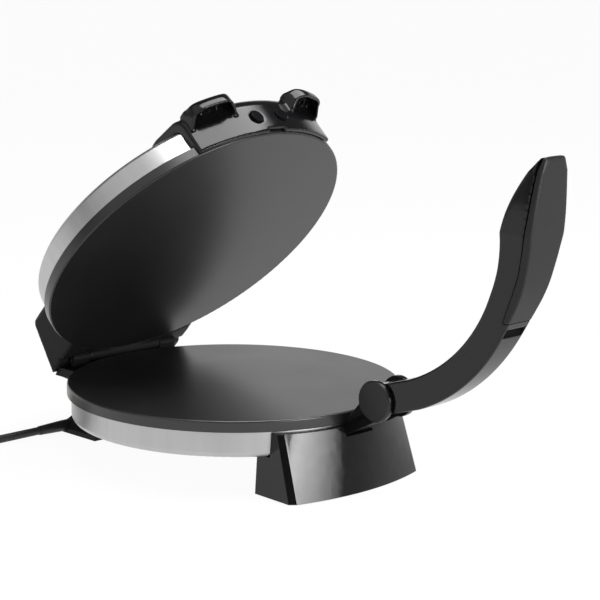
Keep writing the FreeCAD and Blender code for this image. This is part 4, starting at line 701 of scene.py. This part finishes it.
class FLATBREAD_OT_inside(bpy.types.Operator):
    """Finish the heating parts, pins, screws and blocks inside"""

    bl_idname = "flatbread.inside"
    bl_label = "Inner parts"

    def execute(self, context):
        dress("element_steel", "lower_element", "upper_element")
        dress("reflector_sheet", "lower_reflector", "upper_reflector")
        dress("fastener", "lower_plate_screws", "lid_screws", "shell_screws")
        dress("pin_steel", "hinge_pin", "lever_pin")
        dress("brass_bush", "lever_bush")
        dress("pale_moulding", "lower_thermostat", "upper_thermostat", "terminal_block")
        dress("board", "lamp_board")
        return {"FINISHED"}


def coil_points(sizes):
    """Middle line of the coil: spiral in, climb in the half turn where it reverses, spiral out."""
    points = []
    for step in range(int(COIL_TURNS * COIL_STEPS) + 1):
        turn = step / COIL_STEPS
        inward = min(turn, COIL_TURNS - turn)
        radius = (sizes.coil_radius - sizes.coil_pitch * inward) / COIL_STAND_OUT
        climb = min(max(ramp(turn, CLIMB_START, CLIMB_STOP), 0.0), 1.0)
        height = sizes.coil_layer * climb * climb * (3 - 2 * climb)
        angle = -math.pi / 2 - 2 * math.pi * turn
        out = Vector((radius * math.cos(angle), radius * math.sin(angle), height))
        points.append(COIL_CENTRE + out)
    return points


class FLATBREAD_OT_lead(bpy.types.Operator):
    """Lay the mains lead from the strain relief through its coil to the plug"""

    bl_idname = "flatbread.lead"
    bl_label = "Mains lead"

    def execute(self, context):
        sizes = context.scene.flatbread_sizes
        points = [*LEAD_START, *coil_points(sizes), *LEAD_END]
        curve = bpy.data.curves.new("mains_lead", "CURVE")
        curve.dimensions = "3D"
        curve.bevel_depth = sizes.lead / 2
        curve.bevel_resolution = 6
        curve.resolution_u = 6
        curve.use_fill_caps = True
        line = curve.splines.new("NURBS")
        line.points.add(len(points) - 1)
        for spot, point in zip(line.points, points):
            spot.co = (*point, 1)
        line.order_u = 3
        line.use_endpoint_u = True
        lead = bpy.data.objects.new("mains_lead", curve)
        context.scene.collection.objects.link(lead)
        curve.materials.append(finish("cord_black"))
        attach(lead, "base")
        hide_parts("power_cord", "cord_coil", "cord_tail")
        tie = finished_copy("cord_tie", "tie_black", sizes.fine_edge)
        plug = finished_copy("plug_body", "cord_black", sizes.edge)
        blades = finished_copy("plug_blades", "blade_brass", sizes.fine_edge)
        return {"FINISHED"}


def soft_light(name, place, target, size, watts, fade):
    """Rectangular soft light aimed at a point, which fades out between two shares of its width."""
    data = bpy.data.lights.new(name, "AREA")
    data.shape = "RECTANGLE"
    data.size, data.size_y = size
    data.energy = watts
    lamp = bpy.data.objects.new(name, data)
    bpy.context.scene.collection.objects.link(lamp)
    lamp.location = place
    lamp.rotation_euler = (Vector(target) - Vector(place)).to_track_quat("-Z", "Y").to_euler()
    data.use_nodes = True
    tree = data.node_tree
    across = tree.nodes.new("ShaderNodeNewGeometry")
    x, _, _ = axes(tree, across.outputs["Parametric"])
    strength = spread(tree, x, onto=(1.0, 0.0), across=fade)
    link(tree, strength, tree.nodes["Emission"].inputs["Strength"])


def seen_by(tree, *rays):
    """One for those kinds of ray, else zero."""
    path = tree.nodes.new("ShaderNodeLightPath")
    seen = path.outputs[rays[0]]
    for ray in rays[1:]:
        seen = sums(tree, "MAXIMUM", seen, path.outputs[ray])
    return seen


def choose(tree, factor, first, second):
    """First where the factor is zero, second where it is one."""
    node = tree.nodes.new("ShaderNodeMix")
    for name, value in (("Factor", factor), ("A", first), ("B", second)):
        if isinstance(value, float):
            node.inputs[name].default_value = value
        else:
            link(tree, value, node.inputs[name])
    return node.outputs["Result"]


def toward(tree, direction, way):
    """How far a direction in the room points one way, from one to minus one."""
    node = tree.nodes.new("ShaderNodeVectorMath")
    node.operation = "DOT_PRODUCT"
    node.inputs[1].default_value = way
    link(tree, direction, node.inputs[0])
    return node.outputs["Value"]


class FLATBREAD_OT_studio(bpy.types.Operator):
    """Set up the camera, the pale floor and the soft lights"""

    bl_idname = "flatbread.studio"
    bl_label = "Studio"

    def execute(self, context):
        scene = context.scene
        scene.view_settings.view_transform = "Standard"
        self.set_camera(scene)
        self.lay_floor(context)
        self.light_room(scene)
        return {"FINISHED"}

    def set_camera(self, scene):
        """Camera where the photo was taken from."""
        data = bpy.data.cameras.new("photo_camera")
        data.lens = CAMERA_LENS
        data.sensor_width = CAMERA_SENSOR
        data.clip_end = CAMERA_REACH
        camera = bpy.data.objects.new("photo_camera", data)
        scene.collection.objects.link(camera)
        forward = Vector(CAMERA_FORWARD).normalized()
        right = forward.cross(Vector(CAMERA_UP)).normalized()
        turn = Matrix((right, right.cross(forward), -forward)).transposed()
        camera.matrix_world = Matrix.Translation(CAMERA_PLACE) @ turn.to_4x4()
        scene.camera = camera

    def lay_floor(self, context):
        """Pale floor that the camera and glossy faces see nearly white."""
        bpy.ops.object.select_all(action="DESELECT")
        bpy.ops.mesh.primitive_plane_add(size=FLOOR_SIZE, location=(0, 0, 0))
        floor = context.active_object
        floor.name = "floor"
        material, tree, shader = new_material("floor_pale")
        shader.inputs["Base Color"].default_value = (*context.scene.flatbread_studio.floor, 1)
        shader.inputs["Roughness"].default_value = 0.9
        glow = tree.nodes.new("ShaderNodeEmission")
        mix = tree.nodes.new("ShaderNodeMixShader")
        white = seen_by(tree, "Is Camera Ray", "Is Glossy Ray", "Is Transmission Ray")
        link(tree, spread(tree, white, onto=(0.0, FLOOR_GLOW)), mix.inputs["Fac"])
        link(tree, shader.outputs["BSDF"], mix.inputs[1])
        link(tree, glow.outputs["Emission"], mix.inputs[2])
        link(tree, mix.outputs["Shader"], tree.nodes["Material Output"].inputs["Surface"])
        floor.data.materials.append(material)

    def light_room(self, scene):
        """White room for the camera, which glossy faces see with a bright wall and a window."""
        studio = scene.flatbread_studio
        world = bpy.data.worlds.new("white_room")
        scene.world = world
        world.use_nodes = True
        tree = world.node_tree
        back = tree.nodes["Background"]
        back.inputs["Color"].default_value = (1, 1, 1, 1)
        direction = tree.nodes.new("ShaderNodeTexCoord").outputs["Generated"]
        _, _, up = axes(tree, direction)
        height = spread(tree, up, onto=(1.0, 0.08), across=(0.26, 0.42))
        to_wall = toward(tree, direction, BRIGHT_WALL)
        side = spread(tree, to_wall, onto=(0.03, 1.0), across=(-0.7, 0.95))
        walls = sums(tree, "MULTIPLY", height, side)
        to_window = toward(tree, direction, WINDOW)
        window = spread(tree, to_window, onto=(0.0, 0.8), across=(0.76, 0.96))
        seen = sums(tree, "MAXIMUM", walls, window)
        glossy = seen_by(tree, "Is Glossy Ray", "Is Transmission Ray")
        mirrored = choose(tree, glossy, studio.room, seen)
        shown = choose(tree, seen_by(tree, "Is Camera Ray"), mirrored, 1.0)
        link(tree, shown, back.inputs["Strength"])
        soft_light("overhead_light", place=(0.325, -0.21, 1.75), target=(0.325, -0.2, 0),
                   size=(2.15, 0.83), watts=studio.overhead, fade=(0.78, 1.0))
        soft_light("strip_light", place=(0.42, -1.95, 0.46), target=(0, -0.06, 0.05),
                   size=(1.27, 0.7), watts=studio.strip, fade=(0.15, 1.0))


class FLATBREAD_PT_panel(bpy.types.Panel):
    """Steps that dress the flatbread maker"""

    bl_label = "Flatbread maker"
    bl_idname = "FLATBREAD_PT_panel"
    bl_space_type = "VIEW_3D"
    bl_region_type = "UI"
    bl_category = "Flatbread"

    def draw(self, context):
        for step in STEPS:
            self.layout.operator(step.bl_idname)


STEPS = (FLATBREAD_OT_studio, FLATBREAD_OT_lead, FLATBREAD_OT_plates, FLATBREAD_OT_shells,
         FLATBREAD_OT_lever, FLATBREAD_OT_housings, FLATBREAD_OT_pedestals, FLATBREAD_OT_inside)
GROUPS = {"flatbread_finishes": FlatbreadFinishes, "flatbread_sizes": FlatbreadSizes,
          "flatbread_studio": FlatbreadStudio}


def register():
    """Make the classes and the scene's settings known."""
    for kind in (*GROUPS.values(), *STEPS, FLATBREAD_PT_panel):
        bpy.utils.register_class(kind)
    for name, kind in GROUPS.items():
        setattr(bpy.types.Scene, name, PointerProperty(type=kind))


def unregister():
    """Take the classes and the scene's settings away again."""
    for name in GROUPS:
        delattr(bpy.types.Scene, name)
    for kind in (FLATBREAD_PT_panel, *reversed(STEPS), *GROUPS.values()):
        bpy.utils.unregister_class(kind)


def main():
    """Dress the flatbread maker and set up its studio."""
    register()
    bpy.ops.flatbread.studio()
    bpy.ops.flatbread.lead()
    bpy.ops.flatbread.plates()
    bpy.ops.flatbread.shells()
    bpy.ops.flatbread.lever()
    bpy.ops.flatbread.housings()
    bpy.ops.flatbread.pedestals()
    bpy.ops.flatbread.inside()


if __name__ == "__main__":
    main()
